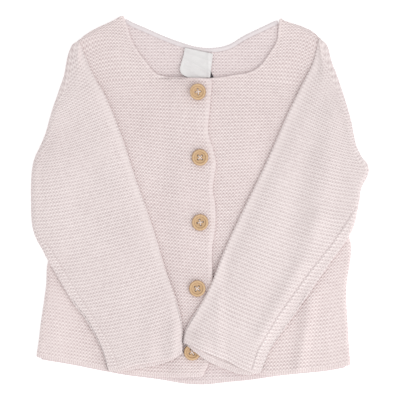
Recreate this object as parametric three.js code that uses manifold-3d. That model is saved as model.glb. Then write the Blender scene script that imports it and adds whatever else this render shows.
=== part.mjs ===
import * as THREE from 'three';
import { mergeVertices } from 'three/addons/utils/BufferGeometryUtils.js';
import Module from 'manifold-3d';

// Cloth and how it is stacked, in millimetres. X runs across, Y up the garment, Z away from the table.
const CLOTH = 2.0;
const AIR = 0.3;
const HALF = CLOTH / 2;
const BACK_MID = HALF;
const FRONT_MID = CLOTH + AIR + HALF;
const FRONT_TOP = FRONT_MID + HALF;
const PLACKET_LIFT = CLOTH + AIR;
const RIM = 0.7;

// Rolled joins at the shoulders and the sides
const ROLL_DROP = 1.6;
const ROLL_REACH = 3.6;
const ROLL_ENDS = -45;
const UNDERARM_FLAT = -22;
const NECK_FLAT = 6;
const NECK_FLAT_FADE = 9;
const BACK_INSET = 5.4;
const BACK_CORNER_IN = 2.6;
const SEAM_SLIT = 0.5;
const SLOPE_STEP = 0.5;
const CURVE_STEPS = 300;

// Where the overlap of the fronts ramps up from the right, and what lies on it, as x in millimetres
const PLACKET_RAMP = { from: -25, to: -15.5 };
const PLACKET_REST_SHIFT = 5;
const OPENING_RAMP = { from: 14, to: 24 };
const BUTTON_RAMP = { from: 9, to: 20 };

// Shares of a patch's edge taken by its first line, where one edge is made of two or three
const SHOULDER_SHARE = 0.34;
const NECK_SHARE = 0.7;
const BACK_SHOULDER_SHARE = 0.22;
const BACK_NECK_SHARE = 0.72;
const SIDE_SHARE = 0.5;

// Grids of the cloth: even steps across and along, with more rows and columns at the rolled edges
const FRONT_ACROSS = 13;
const FRONT_ALONG = 18;
const BACK_ACROSS = 22;
const BACK_ALONG = 14;
const TAG_ACROSS = 7;
const TAG_ALONG = 6;
const ROLL_START = [0.012, 0.026, 0.045];
const ROLL_END = [0.988, 0.974, 0.955];
const ROLL_TOP = [0.992, 0.984, 0.97];
const PLACKET_COLUMNS = [0.8, 0.88];

// Sleeve tube, two walls with air between them
const TUBE_HALF = CLOTH + AIR / 2;
const FOLD_RADIUS = 2.75;
const REST_AIR = 0.75;
const FOLD_END = 0.07;
const FOLD_END_SHARE = 0.5;
const FOLD_ANGLES = [0, 30, 60, 90, 120, 150];
const FOLD_RISE = { from: 30, to: 150 };
const UNDER_REACHES = [0, 0.6];
const OVER_STEPS = 18;
const CREST_REACH = 0.12;
const FOLDS_REACH = 0.08;
const MOUTH_REACH = 0.8;
const PULL_STEP = 0.05;
const RUN_STEP = 0.02;
const SLEEVE_ACROSS = [0.1, 0.22, 0.35, 0.48, 0.61, 0.73, 0.83, 0.92];
const SEAM_RISE = 0.7;
const SEAM_WIDTH = 2.2;
const SEAM_CLEAR = 1.5;

// Section of a tube's edge, a row each: millimetres in from the edge, height off the middle of the outer
// face and of the slit between the two walls
const SLIT_HALF = AIR / 2;
const TUBE_EDGE = [
  { in: 2.1, out: TUBE_HALF, slit: SLIT_HALF },
  { in: 0.6, out: 1.5, slit: SLIT_HALF * 0.6 },
  { in: 0, out: 0, slit: 0 },
  { in: 0.6, out: -1.5, slit: -SLIT_HALF * 0.6 },
  { in: 2.1, out: -TUBE_HALF, slit: -SLIT_HALF },
];
const EDGE_SLOPE = 0.75;

// Neck edging
const BAND_WIDTH = 3.6;
const BAND_THICK = 2.0;
const BAND_CLEAR = 0.9;
const BACK_BAND_CLEAR = 0.5;
const BAND_STEPS = 22;
const BAND_SIDES = 8;
const BAND_RUN_STEP = 0.01;

// Label and size tab
const LABEL_THICK = 0.5;
const TAB_THICK = 0.4;
const TAG_RIM = 1 / 3;
const LABEL_FOLDS = [
  { x0: -14, y0: 120.5, x1: 4, y1: 110.5, wide: 3.2, high: 0.9 },
  { x0: -17, y0: 110, x1: -12, y1: 105, wide: 3.5, high: 1.1 },
];

// Buttons
const BUTTON_RADIUS = 7.0;
const BUTTON_THICK = 2.8;
const DISH_RADIUS = 4.1;
const DISH_DEPTH = 0.9;
const HOLE_RADIUS = 0.85;
const HOLE_SPACING = 3.3;
const BUTTON_SEGMENTS = 24;
const HOLE_SEGMENTS = 8;
const HOLES = 4;
const BUTTON_HALF = BUTTON_THICK / 2;

// Outline that a button is turned from, radius and height
const BUTTON_OUTLINE = [
  { r: 0, h: -BUTTON_HALF },
  { r: BUTTON_RADIUS - 1.2, h: -BUTTON_HALF },
  { r: BUTTON_RADIUS - 0.3, h: 0.6 - BUTTON_HALF },
  { r: BUTTON_RADIUS, h: 0 },
  { r: BUTTON_RADIUS - 0.35, h: BUTTON_HALF - 0.55 },
  { r: BUTTON_RADIUS - 1.3, h: BUTTON_HALF },
  { r: DISH_RADIUS + 0.6, h: BUTTON_HALF - 0.15 },
  { r: DISH_RADIUS - 0.5, h: BUTTON_HALF - DISH_DEPTH },
  { r: 0, h: BUTTON_HALF - DISH_DEPTH },
];

const COLOUR = {
  knit: 0xe2d0cc,
  edging: 0xe6d6d2,
  inside: 0xdcc8c5,
  button: 0xc8a98a,
  label: 0xf1efec,
  tab: 0x352f33,
};

// Each table below is one cut or folded edge: a row per measured place, x and y in millimetres
const SHOULDER_RIGHT = [
  { x: -103.3, y: 135.5 },
  { x: -94.9, y: 142.1 },
  { x: -84.5, y: 147.6 },
  { x: -73.4, y: 152.6 },
  { x: -65.0, y: 156.1 },
];
const SHOULDER_LEFT = [
  { x: 67.3, y: 154.0 },
  { x: 70.9, y: 152.5 },
  { x: 86.2, y: 147.6 },
  { x: 96.4, y: 142.5 },
  { x: 101.8, y: 137.4 },
];
const ARMHOLE_RIGHT = [
  { x: -124.1, y: 2.5 },
  { x: -113.9, y: 34.0 },
  { x: -105.4, y: 68.0 },
  { x: -99.5, y: 102.0 },
  { x: -98.6, y: 122.4 },
  { x: -103.3, y: 135.5 },
];
const ARMHOLE_LEFT = [
  { x: 123.2, y: 4.2 },
  { x: 113.0, y: 34.0 },
  { x: 104.5, y: 68.0 },
  { x: 99.5, y: 102.0 },
  { x: 98.9, y: 122.4 },
  { x: 101.8, y: 137.4 },
];
const SIDE_RIGHT = [
  { x: -139.1, y: -133.4 },
  { x: -137.0, y: -119.8 },
  { x: -135.5, y: -107.1 },
  { x: -132.3, y: -85.0 },
  { x: -130.6, y: -71.4 },
  { x: -129.9, y: -56.5 },
  { x: -126.8, y: -44.0 },
  { x: -125.0, y: -25.5 },
  { x: -124.1, y: 2.5 },
];
const SIDE_LEFT = [
  { x: 127.9, y: -140.2 },
  { x: 126.2, y: -119.8 },
  { x: 125.3, y: -102.0 },
  { x: 124.4, y: -86.7 },
  { x: 124.5, y: -72.2 },
  { x: 126.0, y: -61.2 },
  { x: 127.8, y: -49.3 },
  { x: 128.2, y: -38.0 },
  { x: 124.8, y: -25.5 },
  { x: 123.2, y: -10.0 },
  { x: 123.2, y: 4.2 },
];
const HEM_FRONT_RIGHT = [
  { x: -139.1, y: -133.4 },
  { x: -127.5, y: -135.2 },
  { x: -107.1, y: -139.2 },
  { x: -86.7, y: -143.1 },
  { x: -66.3, y: -146.8 },
  { x: -45.9, y: -149.4 },
  { x: -30.0, y: -150.3 },
  { x: -15.0, y: -150.4 },
  { x: 2.2, y: -149.9 },
];
const HEM_FRONT_LEFT = [
  { x: -11.9, y: -139.0 },
  { x: 10.2, y: -141.4 },
  { x: 27.5, y: -144.7 },
  { x: 48.4, y: -147.9 },
  { x: 62.0, y: -148.9 },
  { x: 86.7, y: -146.2 },
  { x: 107.1, y: -144.2 },
  { x: 127.9, y: -140.2 },
];
const HEM_BACK = [
  { x: -134.0, y: -135.6 },
  { x: -107.1, y: -140.3 },
  { x: -86.7, y: -144.3 },
  { x: -66.3, y: -148.2 },
  { x: -45.9, y: -150.9 },
  { x: -25.5, y: -153.9 },
  { x: -12.0, y: -156.2 },
  { x: 5.1, y: -156.7 },
  { x: 25.5, y: -154.5 },
  { x: 45.9, y: -152.5 },
  { x: 66.3, y: -149.4 },
  { x: 86.7, y: -147.2 },
  { x: 107.1, y: -145.2 },
  { x: 122.6, y: -142.4 },
];
// The front edge that shows wanders a little between the buttonholes
const OPENING_RIGHT = [
  { x: 2.2, y: -149.9 },
  { x: 7.4, y: -138.8 },
  { x: 10.0, y: -126.0 },
  { x: 10.8, y: -105.0 },
  { x: 11.0, y: -72.0 },
  { x: 10.5, y: -41.6 },
  { x: 13.0, y: -22.9 },
  { x: 13.0, y: -4.2 },
  { x: 11.0, y: 10.0 },
  { x: 13.6, y: 31.5 },
  { x: 11.0, y: 43.4 },
  { x: 7.0, y: 58.0 },
  { x: 8.7, y: 79.9 },
  { x: 9.3, y: 103.0 },
];
const OPENING_LEFT = [
  { x: -11.9, y: -139.0 },
  { x: -11.5, y: -60.0 },
  { x: -11.0, y: 20.0 },
  { x: -11.9, y: 102.8 },
];
const NECK_RIGHT = [
  { x: -64.8, y: 156.3 },
  { x: -61.4, y: 147.0 },
  { x: -58.8, y: 138.2 },
  { x: -52.9, y: 126.8 },
  { x: -44.2, y: 115.4 },
  { x: -36.5, y: 107.3 },
  { x: -28.0, y: 104.8 },
  { x: -9.5, y: 103.9 },
  { x: 9.3, y: 103.0 },
];
const NECK_LEFT = [
  { x: -11.9, y: 102.8 },
  { x: 10.2, y: 103.7 },
  { x: 28.7, y: 106.2 },
  { x: 44.3, y: 109.5 },
  { x: 52.1, y: 115.3 },
  { x: 59.2, y: 125.1 },
  { x: 65.2, y: 135.5 },
  { x: 66.2, y: 144.5 },
  { x: 67.4, y: 153.7 },
];
const NECK_BACK = [
  { x: -63.0, y: 154.2 },
  { x: -57.8, y: 151.3 },
  { x: -44.2, y: 145.4 },
  { x: -30.6, y: 139.4 },
  { x: -17.0, y: 134.3 },
  { x: -3.4, y: 130.4 },
  { x: 10.2, y: 129.3 },
  { x: 23.8, y: 131.9 },
  { x: 37.4, y: 139.8 },
  { x: 51.0, y: 146.4 },
  { x: 65.5, y: 153.2 },
];

// Sleeves: the fold at the side of the body, then the two long edges and the cuff of the part laid over
// the front
const SLEEVE_RIGHT = {
  fold: [
    { x: -105.8, y: 133.8 },
    { x: -108.3, y: 131.9 },
    { x: -110.8, y: 127.1 },
    { x: -112.9, y: 119.8 },
    { x: -115.3, y: 106.7 },
    { x: -118.5, y: 96.5 },
    { x: -125.5, y: 76.1 },
    { x: -131.4, y: 55.7 },
    { x: -135.7, y: 45.5 },
    { x: -140.4, y: 35.3 },
    { x: -142.6, y: 25.1 },
    { x: -143.3, y: 12.8 },
    { x: -143.3, y: -3.4 },
    { x: -143.0, y: -15.3 },
    { x: -141.4, y: -25.9 },
    { x: -138.2, y: -34.4 },
    { x: -133.8, y: -42.0 },
    { x: -130.6, y: -48.4 },
  ],
  inner: [
    { x: -100.2, y: 125.2 },
    { x: -96.9, y: 118.6 },
    { x: -89.6, y: 105.1 },
    { x: -80.4, y: 88.8 },
    { x: -67.0, y: 56.4 },
    { x: -55.1, y: 20.4 },
    { x: -39.9, y: -22.9 },
    { x: -28.0, y: -62.0 },
    { x: -20.4, y: -81.5 },
    { x: -15.6, y: -104.0 },
    { x: -15.0, y: -128.6 },
  ],
  outer: [
    { x: -123.0, y: -61.5 },
    { x: -105.7, y: -90.5 },
    { x: -98.4, y: -99.5 },
    { x: -83.3, y: -127.1 },
    { x: -77.9, y: -144.4 },
  ],
  cuff: [
    { x: -15.0, y: -128.6 },
    { x: -22.4, y: -133.9 },
    { x: -35.9, y: -138.8 },
    { x: -52.9, y: -141.8 },
    { x: -69.0, y: -144.9 },
    { x: -77.9, y: -144.4 },
  ],
  underarm: [
    { x: -127.6, y: 2.5 },
    { x: -128.6, y: -20.0 },
    { x: -128.2, y: -40.0 },
  ],
  side: -1,
  seamInset: 8.0,
  cuffPull: 3.4,
};
const SLEEVE_LEFT = {
  fold: [
    { x: 103.7, y: 135.8 },
    { x: 107.6, y: 131.9 },
    { x: 109.5, y: 127.1 },
    { x: 112.0, y: 116.9 },
    { x: 116.0, y: 106.7 },
    { x: 122.8, y: 86.3 },
    { x: 128.6, y: 65.9 },
    { x: 130.5, y: 55.7 },
    { x: 133.0, y: 45.5 },
    { x: 137.7, y: 36.1 },
    { x: 142.1, y: 30.6 },
    { x: 143.3, y: 25.1 },
    { x: 141.9, y: 19.7 },
    { x: 136.8, y: 9.8 },
    { x: 135.4, y: 0.0 },
    { x: 133.3, y: -10.2 },
    { x: 131.3, y: -19.6 },
    { x: 128.7, y: -26.8 },
  ],
  inner: [
    { x: 99.6, y: 124.5 },
    { x: 97.0, y: 117.0 },
    { x: 91.0, y: 106.7 },
    { x: 75.6, y: 76.3 },
    { x: 60.7, y: 42.5 },
    { x: 51.0, y: 21.3 },
    { x: 40.4, y: 0.0 },
    { x: 32.3, y: -17.0 },
    { x: 24.2, y: -34.0 },
    { x: 17.0, y: -51.0 },
    { x: 10.6, y: -68.0 },
    { x: 2.1, y: -85.0 },
    { x: -8.5, y: -102.0 },
    { x: -12.4, y: -112.0 },
    { x: -13.6, y: -119.8 },
  ],
  outer: [
    { x: 122.7, y: -36.5 },
    { x: 109.0, y: -55.4 },
    { x: 94.6, y: -76.5 },
    { x: 77.5, y: -101.2 },
    { x: 60.4, y: -125.6 },
    { x: 51.5, y: -145.2 },
  ],
  cuff: [
    { x: -13.4, y: -120.3 },
    { x: -1.1, y: -130.0 },
    { x: 8.6, y: -136.5 },
    { x: 19.6, y: -141.3 },
    { x: 28.8, y: -145.3 },
    { x: 36.5, y: -147.0 },
    { x: 45.7, y: -147.6 },
    { x: 51.8, y: -145.3 },
  ],
  underarm: [
    { x: 126.8, y: 4.2 },
    { x: 127.4, y: -8.0 },
    { x: 126.8, y: -20.0 },
  ],
  side: 1,
  seamInset: 10.5,
  cuffPull: 7.2,
};

// Soft folds, a row each: the line it follows, how far it spreads and how high it stands
const FOLDS_SLEEVE_RIGHT = [
  { x0: -126, y0: 40, x1: -120, y1: -30, wide: 14, high: 1.4 },
  { x0: -93, y0: 84, x1: -72, y1: 10, wide: 12, high: 1.2 },
  { x0: -78, y0: -40, x1: -56, y1: -118, wide: 13, high: 1.0 },
  { x0: -22, y0: -108, x1: -22, y1: -130, wide: 5, high: 1.6 },
  { x0: -40, y0: -96, x1: -43, y1: -136, wide: 7, high: 1.3 },
];
const FOLDS_SLEEVE_LEFT = [
  { x0: 118, y0: 62, x1: 124, y1: 2, wide: 13, high: 2.6 },
  { x0: 104, y0: 76, x1: 78, y1: -6, wide: 12, high: 1.3 },
  { x0: 62, y0: -22, x1: 22, y1: -104, wide: 15, high: 1.4 },
  { x0: 92, y0: -48, x1: 56, y1: -112, wide: 6, high: 1.2 },
];
const FOLDS_FRONT_RIGHT = [
  { x0: -36, y0: 70, x1: -18, y1: 10, wide: 14, high: 0.9 },
  { x0: -120, y0: -78, x1: -124, y1: -126, wide: 9, high: 0.8 },
];
const FOLDS_FRONT_LEFT = [
  { x0: 103, y0: -86, x1: 96, y1: -140, wide: 7, high: 2.2 },
  { x0: 40, y0: 70, x1: 30, y1: 24, wide: 14, high: 0.9 },
];

// Label corners hang from the back of the neck, its lower edge lies just above the fronts
const LABEL = {
  topLeft: { x: -12.5, y: 128.6 },
  topRight: { x: 10.6, y: 124.0 },
  bottomLeft: { x: -15.6, y: 107.0 },
  bottomRight: { x: 8.2, y: 105.2 },
};
const TAB = {
  topLeft: { x: -9.5, y: 114.5 },
  topRight: { x: 9.8, y: 113.0 },
  bottomLeft: { x: -10.6, y: 105.1 },
  bottomRight: { x: 10.2, y: 105.6 },
};

// Buttons, a row each: where it is, how its four holes are turned, how far it tips and how high it is raised
const BUTTONS = [
  { x: -1.8, y: 91.5, turn: 8, tip: 15, lift: 1.9 },
  { x: 0.0, y: 36.0, turn: 45, tip: 0, lift: 0 },
  { x: 0.1, y: -19.0, turn: 12, tip: 0, lift: 0 },
  { x: -2.3, y: -74.9, turn: 52, tip: -3, lift: 0.4 },
  { x: -6.6, y: -128.8, turn: 30, tip: 0, lift: 0 },
];

const radians = degrees => degrees * Math.PI / 180;
const mix = (a, b, t) => a + (b - a) * t;

function ease(from, to, value) {
  const t = Math.min(1, Math.max(0, (value - from) / (to - from)));
  return t * t * (3 - 2 * t);
}

function through(rows) {
  const spots = rows.map(row => new THREE.Vector3(row.x, row.y, 0));
  const curve = new THREE.CatmullRomCurve3(spots, false, 'centripetal');
  curve.arcLengthDivisions = CURVE_STEPS;
  return share => curve.getPointAt(Math.min(1, Math.max(0, share)));
}

function distanceTo(fold, x, y) {
  const dx = fold.x1 - fold.x0;
  const dy = fold.y1 - fold.y0;
  const along = ((x - fold.x0) * dx + (y - fold.y0) * dy) / (dx * dx + dy * dy);
  const held = Math.min(1, Math.max(0, along));
  return Math.hypot(x - fold.x0 - held * dx, y - fold.y0 - held * dy);
}

function foldsAt(folds, x, y) {
  return folds.reduce((sum, fold) => {
    const away = distanceTo(fold, x, y) / fold.wide;
    return sum + fold.high * Math.exp(-away * away);
  }, 0);
}

// Distance of a place from a line of rows, used for the rolled shoulder and side
function distanceToRows(rows, x, y) {
  let nearest = Infinity;
  for (let i = 0; i + 1 < rows.length; i++) {
    const part = { x0: rows[i].x, y0: rows[i].y, x1: rows[i + 1].x, y1: rows[i + 1].y };
    nearest = Math.min(nearest, distanceTo(part, x, y));
  }
  return nearest;
}

function rollAt(shoulder, side, x, y) {
  const neck = shoulder.reduce((a, b) => (Math.abs(a.x) < Math.abs(b.x) ? a : b));
  const pastNeck = ease(NECK_FLAT, NECK_FLAT + NECK_FLAT_FADE, Math.hypot(x - neck.x, y - neck.y));
  const atShoulder = pastNeck * (1 - ease(0, ROLL_REACH, distanceToRows(shoulder, x, y))) ** 2;
  const atSide = (1 - ease(0, ROLL_REACH, distanceToRows(side, x, y))) ** 2;
  return ROLL_DROP * Math.max(atShoulder, atSide * (1 - ease(ROLL_ENDS, UNDERARM_FLAT, y)));
}

const placketLift = x => PLACKET_LIFT * ease(PLACKET_RAMP.from, PLACKET_RAMP.to, x);

function frontRightMid(x, y) {
  return FRONT_MID + placketLift(x) + foldsAt(FOLDS_FRONT_RIGHT, x, y)
    - rollAt(SHOULDER_RIGHT, SIDE_RIGHT, x, y);
}

function frontLeftMid(x, y) {
  return FRONT_MID + foldsAt(FOLDS_FRONT_LEFT, x, y) - rollAt(SHOULDER_LEFT, SIDE_LEFT, x, y);
}

// Height of what a folded sleeve lies on
function restRight(x, y) {
  return FRONT_TOP + placketLift(x + PLACKET_REST_SHIFT) + foldsAt(FOLDS_FRONT_RIGHT, x, y);
}

function restLeft(x, y) {
  const overOpening = PLACKET_LIFT * (1 - ease(OPENING_RAMP.from, OPENING_RAMP.to, x));
  const button = BUTTONS.at(-1);
  const near = Math.hypot(x - button.x, y - button.y);
  const overButton = (BUTTON_THICK + AIR) * (1 - ease(BUTTON_RAMP.from, BUTTON_RAMP.to, near));
  return FRONT_TOP + overOpening + overButton + foldsAt(FOLDS_FRONT_LEFT, x, y);
}

// A patch between four edges
function patch(bottom, top, left, right) {
  const c00 = bottom(0);
  const c10 = bottom(1);
  const c01 = top(0);
  const c11 = top(1);
  return (s, t) => {
    const spot = bottom(s).clone().multiplyScalar(1 - t).addScaledVector(top(s), t);
    spot.addScaledVector(left(t), 1 - s).addScaledVector(right(t), s);
    spot.addScaledVector(c00, -(1 - s) * (1 - t)).addScaledVector(c10, -s * (1 - t));
    spot.addScaledVector(c01, -(1 - s) * t).addScaledVector(c11, -s * t);
    return spot;
  };
}

function joined(first, second, share) {
  return s => (s < share ? first(s / share) : second((s - share) / (1 - share)));
}

function meshOf(name, points, triangles, colour, roughness) {
  const geometry = new THREE.BufferGeometry();
  geometry.setAttribute('position', new THREE.Float32BufferAttribute(points.flat(), 3));
  geometry.setIndex(triangles.flat());
  geometry.computeVertexNormals();
  const material = new THREE.MeshStandardMaterial({ color: colour, roughness, metalness: 0 });
  const mesh = new THREE.Mesh(geometry, material);
  mesh.name = name;
  return mesh;
}

function slopeNormal(mid, x, y) {
  const dx = (mid(x + SLOPE_STEP, y) - mid(x - SLOPE_STEP, y)) / (2 * SLOPE_STEP);
  const dy = (mid(x, y + SLOPE_STEP) - mid(x, y - SLOPE_STEP)) / (2 * SLOPE_STEP);
  return new THREE.Vector3(-dx, -dy, 1).normalize();
}

// Grid positions round the rim, counter-clockwise seen from above
function rimCells(cols, rows) {
  const cells = [];
  for (let i = 0; i < cols; i++) cells.push([i, 0]);
  for (let j = 0; j < rows; j++) cells.push([cols, j]);
  for (let i = cols; i > 0; i--) cells.push([i, rows]);
  for (let j = rows; j > 0; j--) cells.push([0, j]);
  return cells;
}

// Even shares of an edge, with more of them where the cloth rolls over
function shares(count, extra = []) {
  const even = Array.from({ length: count + 1 }, (_, i) => i / count);
  return [...even, ...extra].sort((a, b) => a - b);
}

// A wall of cloth over a patch: an upper face, a lower face and a rim with its edges taken off
function cloth({ name, place, mid, across, along, thick = CLOTH, rim = RIM, colour, roughness = 0.95 }) {
  const flat = along.flatMap(t => across.map(s => place(s, t)));
  const cols = across.length - 1;
  const rows = along.length - 1;
  const index = (i, j) => j * (cols + 1) + i;
  const loop = rimCells(cols, rows).map(([i, j]) => index(i, j));
  const edge = loop.map(k => flat[k].clone());
  loop.forEach((k, n) => {
    const before = edge[(n + loop.length - 1) % loop.length];
    const after = edge[(n + 1) % loop.length];
    const inward = new THREE.Vector3(before.y - after.y, after.x - before.x, 0).normalize();
    flat[k] = edge[n].clone().addScaledVector(inward, rim);
  });
  const face = side => flat.map(spot => {
    const normal = slopeNormal(mid, spot.x, spot.y).multiplyScalar(side * thick / 2);
    return [spot.x + normal.x, spot.y + normal.y, mid(spot.x, spot.y) + normal.z];
  });
  const count = flat.length;
  const points = [...face(1), ...face(-1), ...edge.map(spot => [spot.x, spot.y, mid(spot.x, spot.y)])];
  const triangles = [];
  for (let j = 0; j < rows; j++) {
    for (let i = 0; i < cols; i++) {
      const [a, b, c, d] = [index(i, j), index(i + 1, j), index(i + 1, j + 1), index(i, j + 1)];
      triangles.push([a, b, c], [a, c, d]);
      triangles.push([count + a, count + c, count + b], [count + a, count + d, count + c]);
    }
  }
  loop.forEach((k, n) => {
    const m = (n + 1) % loop.length;
    const [e0, e1] = [2 * count + n, 2 * count + m];
    triangles.push([k, e0, e1], [k, e1, loop[m]]);
    triangles.push([e0, count + k, count + loop[m]], [e0, count + loop[m], e1]);
  });
  return meshOf(name, points, triangles, colour, roughness);
}

// Rows moved sideways from their own line: positive is to the left of the way they run
function moved(rows, by) {
  return rows.map((row, i) => {
    const before = rows[Math.max(0, i - 1)];
    const after = rows[Math.min(rows.length - 1, i + 1)];
    const run = Math.hypot(after.x - before.x, after.y - before.y);
    return {
      x: row.x - by * (after.y - before.y) / run,
      y: row.y + by * (after.x - before.x) / run,
    };
  });
}

function frontRight() {
  const neck = moved(NECK_RIGHT, -(BAND_WIDTH + BAND_CLEAR));
  const shoulderEnd = SHOULDER_RIGHT.length - 1;
  const shoulder = SHOULDER_RIGHT.slice(0, shoulderEnd).concat(neck[0]);
  const opening = OPENING_RIGHT.slice(0, -1).concat(neck[neck.length - 1]);
  const armhole = moved(ARMHOLE_RIGHT, -SEAM_SLIT);
  return cloth({
    name: 'front_right',
    place: patch(
      through(HEM_FRONT_RIGHT),
      joined(through([armhole[armhole.length - 1], ...shoulder.slice(1)]), through(neck), SHOULDER_SHARE),
      joined(through(SIDE_RIGHT.slice(0, -1).concat(armhole[0])), through(armhole), SIDE_SHARE),
      through(opening),
    ),
    mid: frontRightMid,
    across: shares(FRONT_ACROSS, [...ROLL_START, ...PLACKET_COLUMNS]),
    along: shares(FRONT_ALONG, ROLL_TOP),
    colour: COLOUR.knit,
  });
}

function frontLeft() {
  const neck = moved(NECK_LEFT, -(BAND_WIDTH + BAND_CLEAR));
  const shoulder = [neck[neck.length - 1], ...SHOULDER_LEFT.slice(1)];
  const opening = OPENING_LEFT.slice(0, -1).concat(neck[0]);
  const armhole = moved(ARMHOLE_LEFT, SEAM_SLIT);
  return cloth({
    name: 'front_left',
    place: patch(
      through(HEM_FRONT_LEFT),
      joined(through(neck), through([...shoulder.slice(0, -1), armhole[armhole.length - 1]]), NECK_SHARE),
      through(opening),
      joined(through(SIDE_LEFT.slice(0, -1).concat(armhole[0])), through(armhole), SIDE_SHARE),
    ),
    mid: frontLeftMid,
    across: shares(FRONT_ACROSS, ROLL_END),
    along: shares(FRONT_ALONG, ROLL_TOP),
    colour: COLOUR.knit,
  });
}

function back() {
  const neck = moved(NECK_BACK, -(BAND_WIDTH + BACK_BAND_CLEAR));
  const right = moved(SHOULDER_RIGHT, -BACK_INSET);
  const left = moved(SHOULDER_LEFT, -BACK_INSET);
  const sideRight = moved(SIDE_RIGHT, -BACK_INSET);
  const sideLeft = moved(SIDE_LEFT, BACK_INSET);
  const armRight = moved(ARMHOLE_RIGHT, -SEAM_SLIT);
  const armLeft = moved(ARMHOLE_LEFT, SEAM_SLIT);
  const lastRight = { x: right[0].x + BACK_CORNER_IN, y: right[0].y };
  const lastLeft = { x: left[left.length - 1].x - BACK_CORNER_IN, y: left[left.length - 1].y };
  armRight[armRight.length - 1] = lastRight;
  armLeft[armLeft.length - 1] = lastLeft;
  const top = joined(
    through([lastRight, ...right.slice(1, -1), neck[0]]),
    joined(
      through(neck),
      through([neck[neck.length - 1], ...left.slice(1, -1), lastLeft]),
      BACK_NECK_SHARE,
    ),
    BACK_SHOULDER_SHARE,
  );
  return cloth({
    name: 'back',
    place: patch(
      through(HEM_BACK),
      top,
      joined(
        through([HEM_BACK[0], ...sideRight.slice(1, -1), armRight[0]]),
        through(armRight),
        SIDE_SHARE,
      ),
      joined(
        through([HEM_BACK[HEM_BACK.length - 1], ...sideLeft.slice(1, -1), armLeft[0]]),
        through(armLeft),
        SIDE_SHARE,
      ),
    ),
    mid: () => BACK_MID,
    across: shares(BACK_ACROSS),
    along: shares(BACK_ALONG),
    colour: COLOUR.inside,
  });
}

// Cuts across a sleeve from the armhole out to the fold and back over the front to the cuff. Each gives
// the place, the way out of the cloth and the share of the seam's rise for a share of the width.
function sleeveFrames(table, armhole, rest, folds) {
  const { side } = table;
  const fold = through(table.fold);
  const arm = through([...armhole].reverse());
  const outward = w => {
    const run = fold(w + RUN_STEP).sub(fold(w - RUN_STEP)).normalize();
    return new THREE.Vector3(side * -run.y, side * run.x, 0);
  };
  const slim = w => mix(FOLD_END_SHARE, 1, ease(0, FOLD_END, Math.min(w, 1 - w)));
  const axis = w => fold(w).addScaledVector(outward(w), -(FOLD_RADIUS + TUBE_HALF) * slim(w));
  const start = axis(0);
  const end = axis(1);
  const over = patch(
    axis,
    through(table.cuff),
    through([start, ...table.inner]),
    through([end, ...table.outer]),
  );
  const under = patch(arm, axis, through([arm(0), start]), through([...table.underarm, end]));
  const foldTop = TUBE_HALF + 2 * FOLD_RADIUS;
  const overMid = (x, y, reach) => {
    const resting = rest(x, y) + REST_AIR + TUBE_HALF;
    const folded = foldsAt(folds, x, y) * ease(0, FOLDS_REACH, reach);
    return mix(foldTop, resting, ease(0, CREST_REACH, reach)) + folded;
  };
  const flat = UNDER_REACHES.map(reach => w => ({
    spot: under(w, reach).setZ(TUBE_HALF),
    normal: new THREE.Vector3(0, 0, 1),
    rise: 0,
  }));
  const turned = FOLD_ANGLES.map(angle => w => {
    const turn = radians(angle);
    const out = outward(w).multiplyScalar(slim(w));
    const spot = axis(w).addScaledVector(out, FOLD_RADIUS * Math.sin(turn));
    spot.z = TUBE_HALF + FOLD_RADIUS * (1 - Math.cos(turn));
    const normal = out.multiplyScalar(-Math.sin(turn)).setZ(Math.cos(turn));
    return { spot, normal, rise: ease(FOLD_RISE.from, FOLD_RISE.to, angle) };
  });
  const laid = shares(OVER_STEPS).map(reach => w => {
    const spot = over(w, reach);
    const mid = (x, y) => overMid(x, y, reach);
    const normal = slopeNormal(mid, spot.x, spot.y).negate();
    const mouth = Math.sin(Math.PI * w) * ease(MOUTH_REACH, 1, reach);
    const pull = over(w, Math.max(0, reach - PULL_STEP)).sub(spot).normalize()
      .multiplyScalar(table.cuffPull * mouth);
    return { spot: spot.setZ(mid(spot.x, spot.y)), normal, rise: 1, pull };
  });
  return [...flat, ...turned, ...laid];
}

// Places round the tube: share across or millimetres in from an edge, and heights off the middle for the
// outer face and the slit
function sleeveRing(seamInset) {
  const face = side => ({ out: side * TUBE_HALF, slit: side * SLIT_HALF });
  const seam = [seamInset + SEAM_WIDTH, seamInset, seamInset - SEAM_WIDTH];
  const edge = TUBE_EDGE.map(row => ({ ...row, shift: CLOTH - row.in * EDGE_SLOPE }));
  return [
    ...SLEEVE_ACROSS.map(w => ({ w, ...face(1) })),
    ...seam.map(far => ({ far, ...face(1) })),
    ...edge.map(row => ({ ...row, far: row.in })),
    ...[...seam].reverse().map(far => ({ far, ...face(-1), rise: far === seamInset ? -SEAM_RISE : 0 })),
    ...[...SLEEVE_ACROSS].reverse().map(w => ({ w, ...face(-1) })),
    ...[...edge].reverse().map(row => ({ ...row, near: row.in })),
  ];
}

// Points of the outer skin and of the slit, cut by cut
function sleevePoints(frames, ring, seamInset) {
  const points = [];
  frames.forEach(frame => {
    const width = frame(0).spot.distanceTo(frame(1).spot);
    const plain = 1 - (seamInset + SEAM_CLEAR * SEAM_WIDTH) / width;
    for (const inside of [0, 1]) {
      for (const place of ring) {
        const shift = inside * (place.shift ?? 0);
        let w = place.w * plain;
        if (place.near !== undefined) w = (place.near + shift) / width;
        if (place.far !== undefined) w = 1 - (place.far + shift) / width;
        const { spot, normal, rise, pull } = frame(w);
        const height = inside ? place.slit : place.out + rise * (place.rise ?? 0);
        if (pull && place.out < 0) spot.add(pull);
        points.push(spot.addScaledVector(normal, height).toArray());
      }
    }
  });
  return points;
}

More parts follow.
